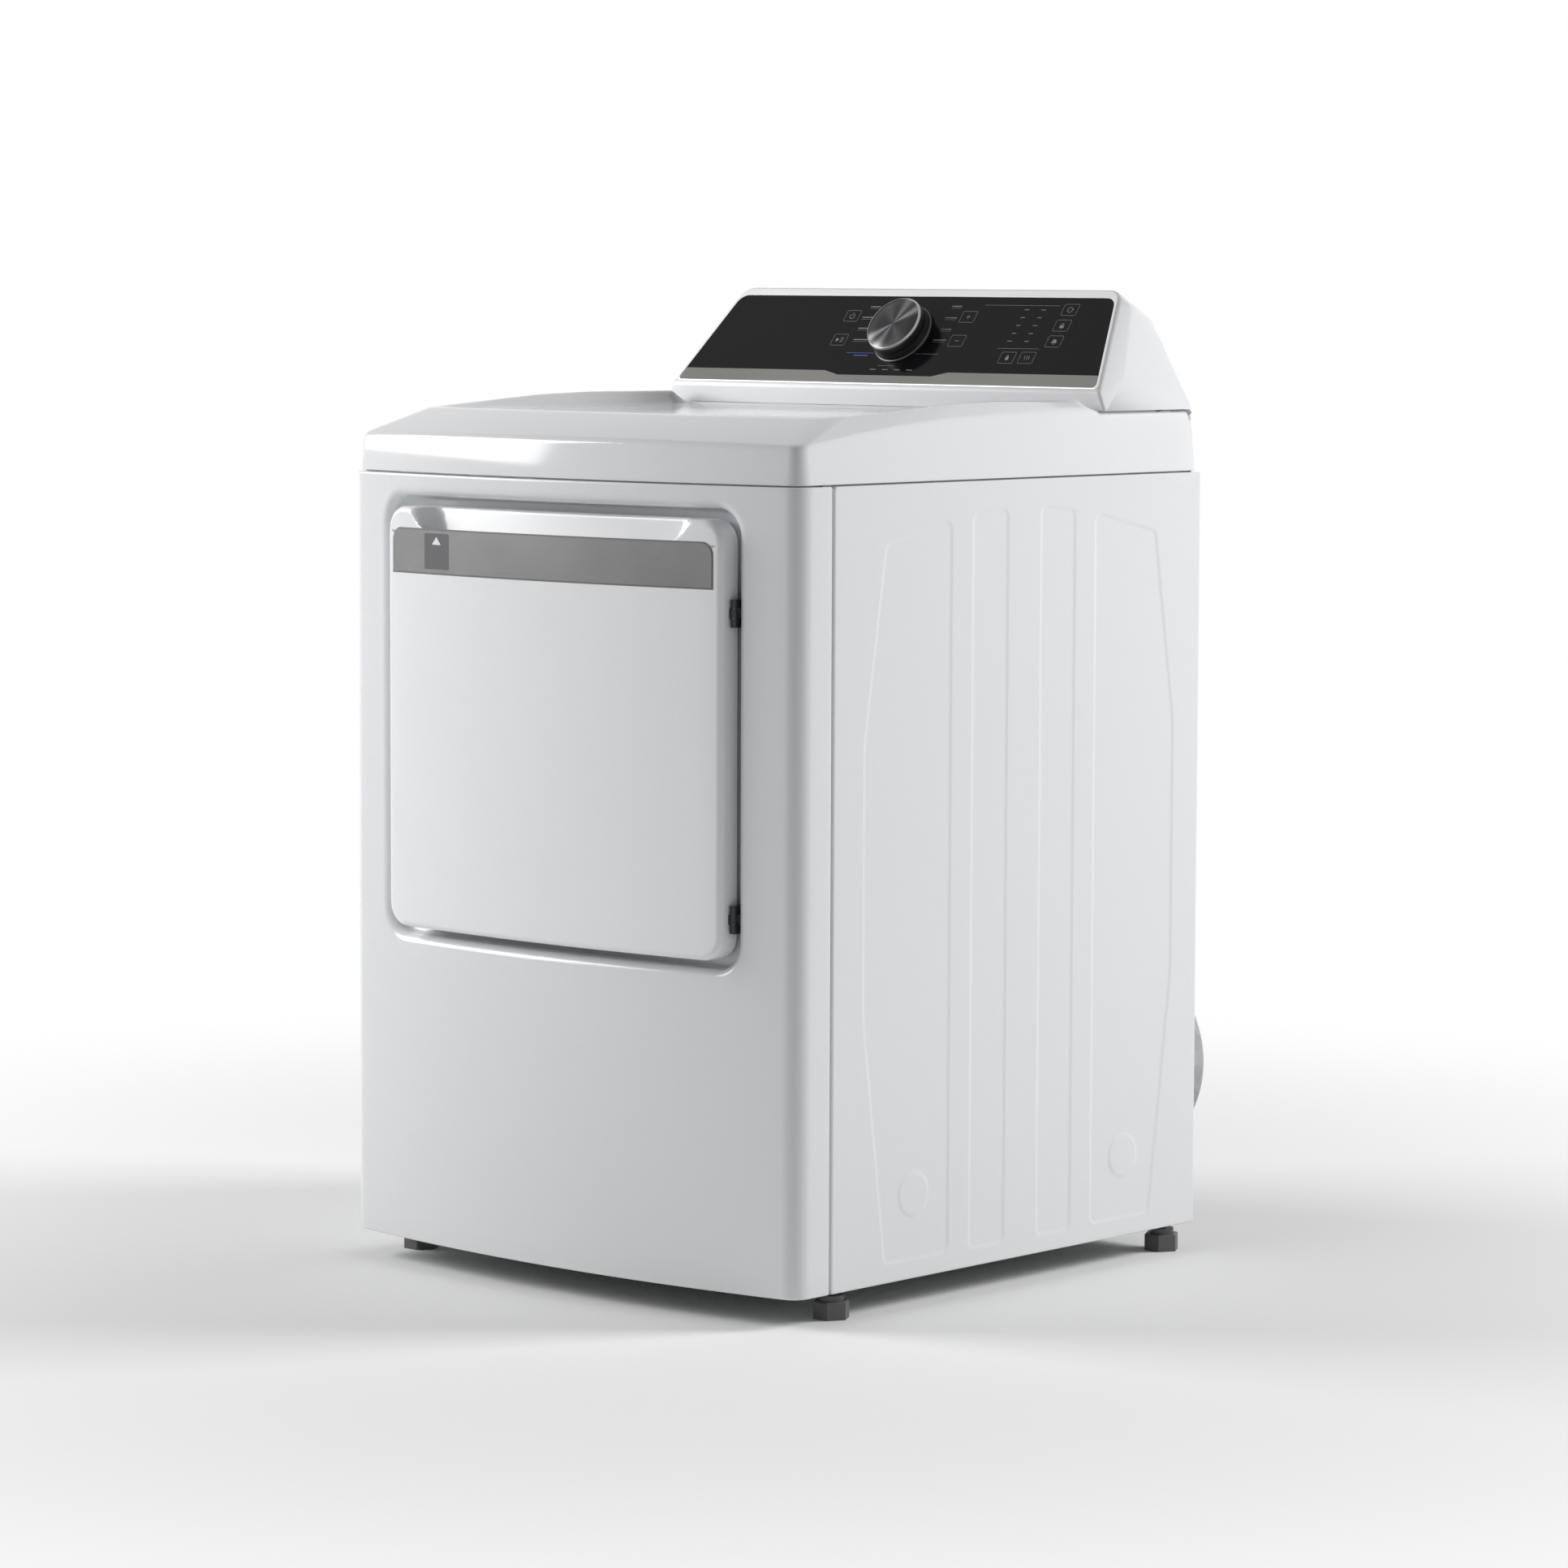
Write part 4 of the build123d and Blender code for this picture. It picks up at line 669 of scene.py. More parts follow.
@dataclass
class FrontPanel:
    """The bowed front with its rounded corners and the recess that takes the door."""

    bow: Bow = Bow()
    half_width: float = field(default_factory=lambda: span("front_panel", 0)[1])
    heights: Pair = field(default_factory=lambda: span("front_panel", 2))
    corner: float = 24.0
    seam_y: float = field(default_factory=lambda: span("front_panel", 1)[1])
    fold: float = 2.0
    fold_start: float = 1.57
    flange: float = 12.0
    sheet: float = 0.9
    recess: Window = Window(267.25, 382.0, 878.0, 30.0, -3.75)
    port: Window = Window(200.0, 425.0, 795.0, 110.0)
    block: Tuple[float, float, float] = (290.0, 364.0, 893.0)
    lip: float = 12.0
    lip_margin: float = 2.0
    floor_y: float = -337.0
    floor_bend: float = 6.0
    floor_shares: Tuple[float, ...] = (0.08, 0.5, 0.92)
    port_roll: float = 5.0
    port_depth: float = 12.0

    def columns(self, square: np.ndarray) -> Tuple[np.ndarray, int, int]:
        """Sets the columns of the sheet along its plan.

        Args:
            square: Outline of the recess's block.

        Returns:
            Rows (X, Y, normal X, normal Y), and the first and last column of the block.
        """
        turn, centre = self.bow.corner(self.half_width, self.corner)
        edge = math.asin(self.block[0] / self.bow.radius)
        hub = (self.half_width - self.fold, self.seam_y - self.fold)
        right = [(*around(self.bow.hub, self.bow.radius, a), a) for a in np.linspace(edge, turn, 6)[1:]]
        right += [(*around(centre, self.corner, a), a) for a in np.linspace(turn, QUARTER, 13)[1:]]
        right += [(self.half_width, y, QUARTER) for y in np.linspace(centre[1], hub[1], 5)[1:]]
        right += [(*around(hub, self.fold, a), a) for a in np.linspace(QUARTER, math.pi, 6)[1:]]
        right.append((hub[0] - self.flange, self.seam_y, math.pi))
        xs = np.unique(np.round(square[:, 0], 6))
        middle = [(x, float(self.bow.y(x)), math.asin(x / self.bow.radius)) for x in xs]
        rows = [(-x, y, -a) for x, y, a in reversed(right)] + middle + right
        plan = np.array([(x, y, math.sin(a), -math.cos(a)) for x, y, a in rows])
        return plan, len(right), len(right) + len(middle) - 1

    def levels(self, square: np.ndarray) -> Tuple[List[Pair], int, int]:
        """Sets the rows of the sheet from its lower to its upper flange.

        Args:
            square: Outline of the recess's block.

        Returns:
            Rows (Z, inset), and the first and last row of the block.
        """
        low, high = self.heights
        turns = np.linspace(self.fold_start, 0.0, 5)
        bends = [(self.fold * (1 - math.sin(a)), self.fold * (1 - math.cos(a))) for a in turns]
        zs = np.unique(np.round(square[:, 1], 6))
        below = [(low, self.flange)] + [(low + rise, inset) for rise, inset in bends]
        below += [(z, 0.0) for z in np.linspace(low + self.fold, zs[0], 14)[1:-1]]
        above = [(z, 0.0) for z in np.linspace(zs[-1], high - self.fold, 4)[1:-1]]
        above += [(high - rise, inset) for rise, inset in reversed(bends)] + [(high, self.flange)]
        rows = below + [(z, 0.0) for z in zs] + above
        return rows, len(below), len(below) + len(zs) - 1

    def build(self) -> None:
        """Builds the panel."""
        square = self.recess.block(*self.block)
        plan, left, right = self.columns(square)
        levels, low, high = self.levels(square)
        rows = [np.column_stack((plan[:, :2] - plan[:, 2:] * inset, np.full(len(plan), z))) for z, inset in levels]
        skin = Skin()
        skin.loft(rows, closed=False, skip=lambda r, c: low <= r < high and left <= c < right)
        skin.loft(self.recess_rings(square))
        skin.make(Piece(
            "front_sheet", CABINET_WHITE, "cabinet", "cabinet_white", ["front_panel"], (0, -1, 0), self.sheet))

    def recess_rings(self, square: np.ndarray) -> List[np.ndarray]:
        """Sets the rings of the recess, from the face to the rolled edge of the port.

        Args:
            square: Outline of the recess's block.

        Returns:
            Rings of points (X, Y, Z).
        """
        rings = [self.bow.placed(square), self.bow.placed(self.recess.ring(self.lip + self.lip_margin))]
        rings += [self.bow.placed(self.recess.ring(grow), depth=depth) for depth, grow in roll(self.lip, 9)]

        def flat(ring: np.ndarray, y: float) -> None:
            """Adds a flat ring."""
            rings.append(np.column_stack((ring[:, 0], np.full(len(ring), y), ring[:, 1])))

        for inset, rise in roll(self.floor_bend, 7):
            flat(self.recess.ring(-inset), self.floor_y - rise)
        inner, outer = self.port.ring(self.port_roll), self.recess.ring(-self.floor_bend)
        for share in self.floor_shares:
            flat(outer + (inner - outer) * share, self.floor_y)
        for depth, grow in roll(self.port_roll, 6):
            flat(self.port.ring(grow), self.floor_y + depth)
        flat(self.port.ring(), self.floor_y + self.port_depth)
        return rings


class Side(Enum):
    """The two sides of the cabinet, seen from the front."""

    RIGHT = 1
    LEFT = -1


@dataclass
class SidePanel:
    """A side of the cabinet with its pressed fields and round bosses."""

    side: Side
    skin: Skin = field(default_factory=Skin)
    rim_radii: Tuple[float, ...] = (3, 3, 3, 5)
    rim_margin: float = 3.0
    fold: float = 2.0
    flange: float = 16.0
    sheet: float = 0.9
    depth: float = 0.8
    ramp: float = 3.0
    margin: float = 4.2
    mirror_y: float = 30.0
    boss_reach: float = 183.0
    boss_z: float = 126.0
    boss_radius: float = 24.5
    wide: Tuple[Pair, ...] = ((-95, 54), (-95, 862), (-203, 838), (-238, 620), (-238, 330), (-201, 54))
    wide_radii: Tuple[float, ...] = (9, 9, 9, 160, 160, 9)
    narrow: Tuple[Pair, ...] = ((1, 53), (1, 872), (-58, 867), (-58, 53))
    narrow_radii: Tuple[float, ...] = (9, 9, 9, 9)

    def __post_init__(self) -> None:
        """Takes the panel's place from the CAD node that it stands for."""
        self.node = "right_side_panel" if self.side is Side.RIGHT else "left_side_panel"
        self.face_x = max(abs(x) for x in span(self.node, 0))

    def build(self) -> None:
        """Builds the panel."""
        (y0, y1), (z0, z1) = span(self.node, 1), span(self.node, 2)
        corners = [(y0, z0), (y1, z0), (y1, z1), (y0, z1)]
        edge = [(0.0, -self.flange)] + [(-inset, -drop) for inset, drop in roll(self.fold, 6)]
        edge.append((-self.fold - self.rim_margin, 0.0))
        rows = [self.placed(rounded_polygon(corners, self.rim_radii, grow, 6), height) for grow, height in edge]
        self.skin.loft(rows)
        shapes = ((self.wide, self.wide_radii), (self.narrow, self.narrow_radii))
        holes = [self.field(points, radii, flip) for points, radii in shapes for flip in (False, True)]
        self.skin.fill(rows[-1], *holes)
        self.skin.make(Piece(self.node.replace("_panel", "_sheet"), CABINET_WHITE, "cabinet", "cabinet_white",
                             [self.node], (self.side.value, 0, 0), self.sheet))

    def placed(self, outline: np.ndarray, height: float) -> np.ndarray:
        """Puts an outline (Y, Z) on this side, stood out by a height."""
        x = np.full(len(outline), self.side.value * (self.face_x + height))
        return np.column_stack((x, outline[:, 0], outline[:, 1]))

    def step(self, ring: Callable[[float], np.ndarray], rise: float, base: float) -> List[np.ndarray]:
        """Presses a step into the panel.

        Args:
            ring: Gives the outline moved outwards by a distance.
            rise: How far the inside stands above the outside.
            base: Height of the outside.

        Returns:
            Rings of points (X, Y, Z), from outside to inside.
        """
        rows = [self.placed(ring(self.margin), base)]
        for t in np.linspace(0.0, 1.0, 8):
            rows.append(self.placed(ring(self.ramp * (1 - 2 * t)), base + rise * float(smooth(t))))
        rows.append(self.placed(ring(-self.margin), base + rise))
        self.skin.loft(rows)
        return rows

    def field(self, points: Sequence[Pair], radii: Sequence[float], flip: bool) -> np.ndarray:
        """Presses one field into the panel, the wide ones with a round boss in them.

        Args:
            points: Corners of the field.
            radii: Radius at each corner.
            flip: Whether it is the field mirrored towards the rear.

        Returns:
            The outline that the panel's flat is cut out by.
        """
        bosses = []
        if points is self.wide:
            y = self.mirror_y + (self.boss_reach if flip else -self.boss_reach)
            bosses = self.step(lambda grow: np.array(arc((y, self.boss_z), self.boss_radius + grow, 0, 360, 48)),
                               self.depth, -self.depth)
            self.skin.fill(bosses[-1])
        if flip:
            points, radii = [(2 * self.mirror_y - y, z) for y, z in reversed(points)], radii[::-1]
        rows = self.step(lambda grow: rounded_polygon(points, radii, grow, 10), -self.depth, 0.0)
        self.skin.fill(rows[-1], *bosses[:1])
        return rows[0]


@dataclass
class TopCover:
    """The moulded cover: apron, front slope that wraps round to the sides, rims and sunk tray."""

    bow: Bow = Bow()
    half_width: float = field(default_factory=lambda: span("top_cover", 0)[1])
    rear_y: float = field(default_factory=lambda: span("top_cover", 1)[1])
    bottom_z: float = 904.6
    inset: float = 2.5
    corner: float = 21.5
    lean: float = 4.5 / 43.0
    lip_inset: float = 7.0
    lip_z: float = 902.6
    crest_depth: float = 84.0
    crest_x: float = 311.0
    crest_corner: float = 45.0
    cove: float = 20.0
    floor_run: float = 16.0
    rim_end_y: float = 153.0
    deck_y: float = 175.0
    deck_z: float = 975.0
    tray_z: float = 971.0
    step_ys: Tuple[float, ...] = (158.0, 162.0, 166.0, 171.0, 176.0, 182.0)
    tray_end_y: float = 166.0
    deck_start_y: float = 176.0
    deck_run_y: float = 200.0
    ramp_x: float = 200.0
    rear_corner: float = 6.0
    apron_front: Tuple[float, float, float] = (949.0, 946.0, 946.6)
    crest_front: Tuple[float, float, float] = (977.0, 976.5, 977.7)
    apron_line: Tuple[Pair, ...] = (
        (-330, 946), (-260, 955.5), (-186, 964), (-103, 970.5), (-11, 974), (91, 976), (153, 976.5))
    crest_line: Tuple[Pair, ...] = (
        (-283, 976.5), (-217, 978), (-171, 981), (-124, 984.5), (-61, 988.5), (20, 991), (153, 991))
    roundings: Tuple[float, ...] = (1.0, 1.5, 7.0, 11.0, 16.0)
    wall: float = 2.5

    def sections(self) -> List[np.ndarray]:
        """Sets the key points of each section of the right half, from the front's middle to the rear's.

        Returns:
            One array of key points for each section, from the lip below to the floor inside.
        """
        turn, centre = self.bow.corner(self.half_width, self.corner, self.inset)
        bend, hub = self.bow.corner(self.crest_x, self.crest_corner, self.inset + self.crest_depth)
        outer = self.bow.radius - self.inset
        inner = outer - self.crest_depth
        (apron, apron_end, apron_side), (crest, crest_end, crest_side) = self.apron_front, self.crest_front
        made = []
        for t in np.linspace(0.0, 1.0, 34):
            a, b = turn * t, bend * t
            made.append(self.section(around(self.bow.hub, outer, a), a, around(self.bow.hub, inner, b), b,
                                     apron + (apron_end - apron) * t * t, crest + (crest_end - crest) * t * t))
        for t in np.linspace(0.0, 1.0, 17)[1:]:
            a, b = turn + (QUARTER - turn) * t, bend + (QUARTER - bend) * t
            apron_z, crest_z = apron_end + (apron_side - apron_end) * t, crest_end + (crest_side - crest_end) * t
            made.append(self.section(around(centre, self.corner, a), a, around(hub, self.crest_corner, b), b,
                                     apron_z, crest_z))
        for t in np.linspace(0.0, 1.0, 46)[1:]:
            made.append(self.side_section(*(y + (self.rim_end_y - y) * t for y in (centre[1], hub[1]))))
        rear = (self.half_width - self.rear_corner, self.rear_y - self.rear_corner)
        made += [self.side_section(y, y) for y in (*self.step_ys, *np.linspace(self.deck_run_y, rear[1], 6))]
        made += [self.deck_section(around(rear, self.rear_corner, a), a) for a in np.linspace(QUARTER, math.pi, 6)[1:]]
        made += [self.deck_section((x, self.rear_y), math.pi) for x in np.linspace(rear[0], 0.0, 12)[1:]]
        return made

    def side_section(self, y: float, crest_y: float) -> np.ndarray:
        """Sets a section on the straight side.

        Args:
            y: Its place on the outline.
            crest_y: Its place on the crest.

        Returns:
            The key points.
        """
        apron_z = np.interp(y, *np.array(self.apron_line).T)
        crest_z = np.interp(crest_y, *np.array(self.crest_line).T)
        share = min(max((y - self.rim_end_y) / (self.deck_y - self.rim_end_y), 0.0), 1.0)
        apron_z, crest_z = (z + (self.deck_z - z) * share for z in (apron_z, crest_z))
        return self.section((self.half_width, y), QUARTER, (self.crest_x, crest_y), QUARTER, apron_z, crest_z)

    def deck_section(self, foot: Pair, turn: float) -> np.ndarray:
        """Sets a section at the rear, under the console, at an angle of the outline's normal."""
        crest = around(foot, self.crest_x - self.half_width, turn)
        return self.section(foot, turn, crest, turn, self.deck_z, self.deck_z)

    def section(self, foot: Pair, turn: float, crest: Pair, bend: float, apron_z: float, crest_z: float) -> np.ndarray:
        """Sets the key points of one section.

        Args:
            foot: Place on the outline.
            turn: Angle of the outline's normal.
            crest: Place on the crest.
            bend: Angle of the crest's normal.
            apron_z: Height at which the apron meets the slope.
            crest_z: Height of the crest.

        Returns:
            The key points from the lip to the tray's floor or the deck.
        """
        share = float(smooth((crest[1] - self.tray_end_y) / (self.deck_start_y - self.tray_end_y)))
        floor_z = self.tray_z + (self.deck_z - self.tray_z) * share
        lip = around(foot, -self.lip_inset, turn)
        apron = around(foot, -self.lean * (apron_z - self.bottom_z), turn)
        cove, floor = (around(crest, -run, bend) for run in (self.cove, self.cove + self.floor_run))
        places = (lip, lip, foot, apron, crest, cove, floor)
        heights = (self.lip_z, self.bottom_z, self.bottom_z, apron_z, crest_z, floor_z, floor_z)
        return np.column_stack((places, heights))

    def build(self) -> None:
        """Builds the cover."""
        half = [rounded_path(keys, self.roundings, 6) for keys in self.sections()]
        flip = np.array((-1.0, 1.0, 1.0))
        loop = half + [s * flip for s in reversed(half[1:-1])]
        skin = Skin()
        skin.loft([np.array(ring) for ring in zip(*loop)])
        inner = np.array([s[-1] for s in half])
        before, after = inner[:, 1] <= self.tray_end_y + SLACK, inner[:, 1] >= self.deck_start_y - SLACK
        tray, deck = inner[before], inner[after]
        between = (inner[:, 1] >= self.tray_end_y - SLACK) & (inner[:, 1] <= self.deck_start_y + SLACK)
        shares = np.linspace(-1.0, 1.0, 15)
        rows = [np.array([(x * s, y, z) for s in shares]) for x, y, z in inner[between & (inner[:, 0] > self.ramp_x)]]
        skin.loft(rows, closed=False)
        skin.fill(np.concatenate((tray[:-1], rows[0][::-1], (tray[1:-1] * flip)[::-1])))
        skin.fill(np.concatenate((deck[1:], (deck[1:-1] * flip)[::-1], rows[-1])))
        skin.make(Piece("cover_moulding", COVER_WHITE, "cabinet", "cover_white", ["top_cover"], (0, 0, 1), self.wall))


@dataclass
class Door:
    """The bowed door panel with its finger scoop between two ears."""

    bow: Bow = Bow()
    outline: Window = Window(255.5, 393.0, 867.0, 27.0, across=96, up=44, turn=16)
    proud: float = 14.0
    edge: float = 7.0
    back_y: float = -345.0
    lip_z: float = 842.0
    band_z: float = 825.0
    lip_wall: float = 7.0
    lip_round: float = 3.4
    lip_draft: Tuple[float, float, float] = (0.8, 0.4, 0.2)
    scoop_start_y: float = -351.5
    scoop_end_y: float = -359.0
    scoop_floor: float = 817.0
    scoop_radii: Tuple[float, ...] = (4.0, 11.0, 9.0, 3.4)
    scoop_half: float = 206.0
    scoop_run: Pair = (22.0, 44.0)
    slant: float = 9.0
    rim_steps: int = 9
    upper_rows: int = 44
    lower_rows: int = 6

    def build(self) -> None:
        """Builds the door panel."""
        across, turn, up = self.outline.across, self.outline.turn, self.outline.up
        rings = self.rings()
        rows = self.top_rows(rings[-1][: across + 1])
        for k in range(across + 1):
            column = self.scooped(np.array([ring[k] for ring in rings + rows[1:]]))
            for row, point in zip(rings + rows[1:], column):
                row[k] = point
        rows[0] = rings[-1][: across + 1]
        skin = Skin()
        skin.loft(rings)
        skin.fill(rings[0])
        skin.loft(rows, closed=False)
        face = rings[-1]
        right_end = across + turn + up
        bottom_start = right_end + turn
        bottom_end = bottom_start + across
        left_start = bottom_end + turn
        right = face[across + turn: right_end + 1]
        left = face[left_start: left_start + up + 1][::-1]
        bottom = face[bottom_start: bottom_end + 1][::-1]
        xs = rows[-1][:, 0]
        grid = [self.bow.placed(np.column_stack((xs, np.full(len(xs), z))), self.proud) for z in right[:, 2]]
        skin.loft(grid + [bottom], closed=False)
        skin.loft([np.array([row[-1] for row in grid]), right], closed=False)
        skin.loft([left, np.array([row[0] for row in grid])], closed=False)
        edge_left, edge_right = (np.array([row[end] for row in rows]) for end in (0, -1))
        for corner in ((face[across: across + turn + 1], edge_right[:0:-1]), (face[left_start + up:], edge_left),
                       (face[right_end: bottom_start + 1], grid[-1][-1:]),
                       (face[bottom_end: left_start + 1], grid[-1][:1])):
            skin.fill(np.concatenate(corner))
        # The door skin takes the lighter enamel, whose extra lightness is painted light.
        skin.make(Piece("door_skin", DOOR_WHITE_PAINTED_LIGHTER, "door", "cabinet_white", ["door_outer_panel"], sharp=50.0))

    def rings(self) -> List[np.ndarray]:
        """Sets the rings from the back edge round to the face.

        Returns:
            Rings of points (X, Y, Z).
        """
        rim = self.outline.ring()
        rings = [np.column_stack((rim[:, 0], np.full(len(rim), self.back_y), rim[:, 1]))]
        for inset, depth in roll(self.edge, self.rim_steps):
            rings.append(self.bow.placed(self.outline.ring(-inset), self.proud, depth))
        return rings

    def top_rows(self, top: np.ndarray) -> List[np.ndarray]:
        """Sets the rows of the face below its top edge.

        Args:
            top: The straight run of the face's top edge.

        Returns:
            Rows from that edge down to the lower end of the scoop's band.
        """
        zs = list(np.linspace(top[0, 2], self.lip_z, self.upper_rows + 1))
        zs += list(np.linspace(self.lip_z, self.band_z, self.lower_rows + 1)[1:])
        return [self.bow.placed(np.column_stack((top[:, 0], np.full(len(top), z))), self.proud) for z in zs]

    def scooped(self, column: np.ndarray) -> np.ndarray:
        """Lets a column of the door dip into the finger scoop.

        Args:
            column: Points of the plain door, from its back edge over the top and down the face.

        Returns:
            The same number of points, blended into the scoop where the column lies in it.
        """
        x = column[-1, 0]
        face_y = float(self.bow.y(x, self.proud))
        inner, crown = face_y + self.lip_wall, (face_y + self.lip_wall / 2, self.lip_z)
        draft, shoulder, drop = self.lip_draft
        keys = np.array([
            (self.back_y, self.outline.high), (self.scoop_start_y, self.outline.high),
            (self.scoop_end_y, self.scoop_floor), (inner, self.scoop_floor), (inner - draft, self.lip_z - shoulder),
            crown])
        path = rounded_path(keys, self.scoop_radii, 10)
        upper = len(column) - self.lower_rows
        runs = np.concatenate(((0.0,), np.cumsum(np.linalg.norm(np.diff(path, axis=0), axis=1))))
        stops = np.linspace(0.0, runs[-1], upper)
        lip = np.array([crown, (face_y, self.lip_z - drop), (face_y, self.band_z)])
        front = rounded_path(lip, (self.lip_round,), self.lower_rows - 2)[1:]
        dipped = np.vstack((np.column_stack([np.interp(stops, runs, side) for side in path.T]), front))
        place = np.concatenate((np.linspace(1.0, -1.0, upper), np.full(self.lower_rows, -1.0)))
        run = np.interp(place, (-1.0, 1.0), self.scoop_run[::-1])
        weight = smooth((self.scoop_half + self.slant * place - abs(x)) / run)[:, None]
        mixed = column.copy()
        mixed[:, 1:] += (dipped - column[:, 1:]) * weight
        mixed[0], mixed[-1] = column[0], column[-1]
        return mixed


@dataclass
class DoorStrip:
    """The brushed strip across the door, its dark rebate and its open mark."""

    bow: Bow = Bow()
    half_width: float = 243.7
    heights: Pair = (794.0, 842.0)
    corner: float = 13.0
    proud: float = 14.0
    thickness: float = 1.0
    bevel: float = 0.35
    rebate: float = 1.6
    rebate_height: float = 0.3
    label: Tuple[float, float, float, float] = (-165.5, 818.5, 42.0, 40.0)
    label_corner: float = 2.0
    label_height: float = 0.12
    mark: Tuple[Pair, ...] = ((-173.5, 826.0), (-157.7, 826.0), (-165.6, 834.8))
    mark_corner: float = 0.6
    mark_height: float = 0.2

    def build(self) -> None:
        """Builds the strip with what lies under and on it."""
        ground, face = self.thickness + self.label_height, self.thickness + self.mark_height
        label = rounded_polygon(rectangle(*self.label), [self.label_corner] * 4, 0.0, 5)
        mark = rounded_polygon(self.mark, [self.mark_corner] * 3, 0.0, 5)
        for skin, name, finish, slot, *stands_for in (
                (self.tile(0.0, self.thickness), "strip_brushed", STRIP_GREY, "strip_grey", "door_strip"),
                (self.tile(self.rebate, self.rebate_height), "strip_rebate", SEAL_GREY, "seal_grey"),
                (self.patch(label, self.thickness, ground), "strip_label_ground", LABEL_GREY, "seal_grey"),
                (self.patch(mark, ground, face), "strip_open_mark", PRINT_WHITE, "liner_white")):
            skin.make(Piece(name, finish, "door", slot, stands_for, sharp=30.0))

    def patch(self, outline: np.ndarray, low: float, high: float) -> Skin:
        """Makes a thin printed patch on the strip, between two levels."""
        return Skin().plate([self.bow.placed(outline, self.proud + level) for level in (low, high)])

    def tile(self, grow: float, thickness: float) -> Skin:
        """Makes a plate with square lower and round upper corners that follows the door.

        Args:
            grow: How far its outline is moved outwards.
            thickness: How far it stands out.

        Returns:
            The skin of the plate.
        """
        half, radius = self.half_width + grow, self.corner + grow
        low, high = self.heights[0] - grow, self.heights[1] + grow
        straight, edge = half - radius, self.bevel
        right = [*np.linspace(0.0, straight, 24), *(straight + radius * np.cos(np.linspace(QUARTER, 0.0, 15)[1:]))]
        xs = np.array([-x for x in reversed(right)] + right[1:])
        over = np.maximum(np.abs(xs) - straight, 0.0)
        tops = high - radius + np.sqrt(np.maximum(radius * radius - over * over, 0.0))
        rims = ((0.0, 0.0), (0.0, thickness - edge), (edge, thickness))
        runs = [(rise, np.full(len(xs), low + rise), level) for rise, level in rims]
        runs += [(edge, low + (tops - low) * share, thickness) for share in np.linspace(0.1, 0.9, 5)]
        runs += [(rise, tops - rise, level) for rise, level in reversed(rims)]
        rows = [self.bow.placed(np.column_stack((xs * (1.0 - rise / np.max(np.abs(xs))), z)), self.proud + level)
                for rise, z, level in runs]
        skin = Skin()
        skin.loft(rows, closed=False)
        for end in (0, -1):
            skin.loft([np.array([row[end] for row in rows]), np.array([rows[0][end]] * len(rows))], closed=False)
        skin.loft([rows[0], rows[-1]], closed=False)
        return skin


@dataclass(frozen=True)
class FacePlane:
    """The tilted face of the console, with U across it, V up it and H out of it."""

    origin: Point = (0.0, 174.5, 997.0)
    up: Pair = (0.61166, 0.79112)

    def placed(self, outline: np.ndarray, height: float) -> np.ndarray:
        """Puts an outline (U, V) at a height over the face.

        Args:
            outline: Points (U, V).
            height: Distance out of the face.

        Returns:
            Points (X, Y, Z).
        """
        u, v = outline[:, 0], outline[:, 1]
        y = self.origin[1] + v * self.up[0] - height * self.up[1]
        z = self.origin[2] + v * self.up[1] + height * self.up[0]
        return np.column_stack((u, y, z))

    def matrix(self, v: float) -> Matrix:
        """Gives the place of something that stands on the face.

        Args:
            v: Its height up the face.

        Returns:
            The matrix, with Z out of the face.
        """
        place = Vector(self.placed(np.array(((0.0, v),)), 0.0)[0]) * MM
        across, upward = Vector((1, 0, 0)), Vector((0, self.up[0], self.up[1]))
        turn = Matrix((across, upward, across.cross(upward))).transposed()
        return Matrix.Translation(place) @ turn.to_4x4()


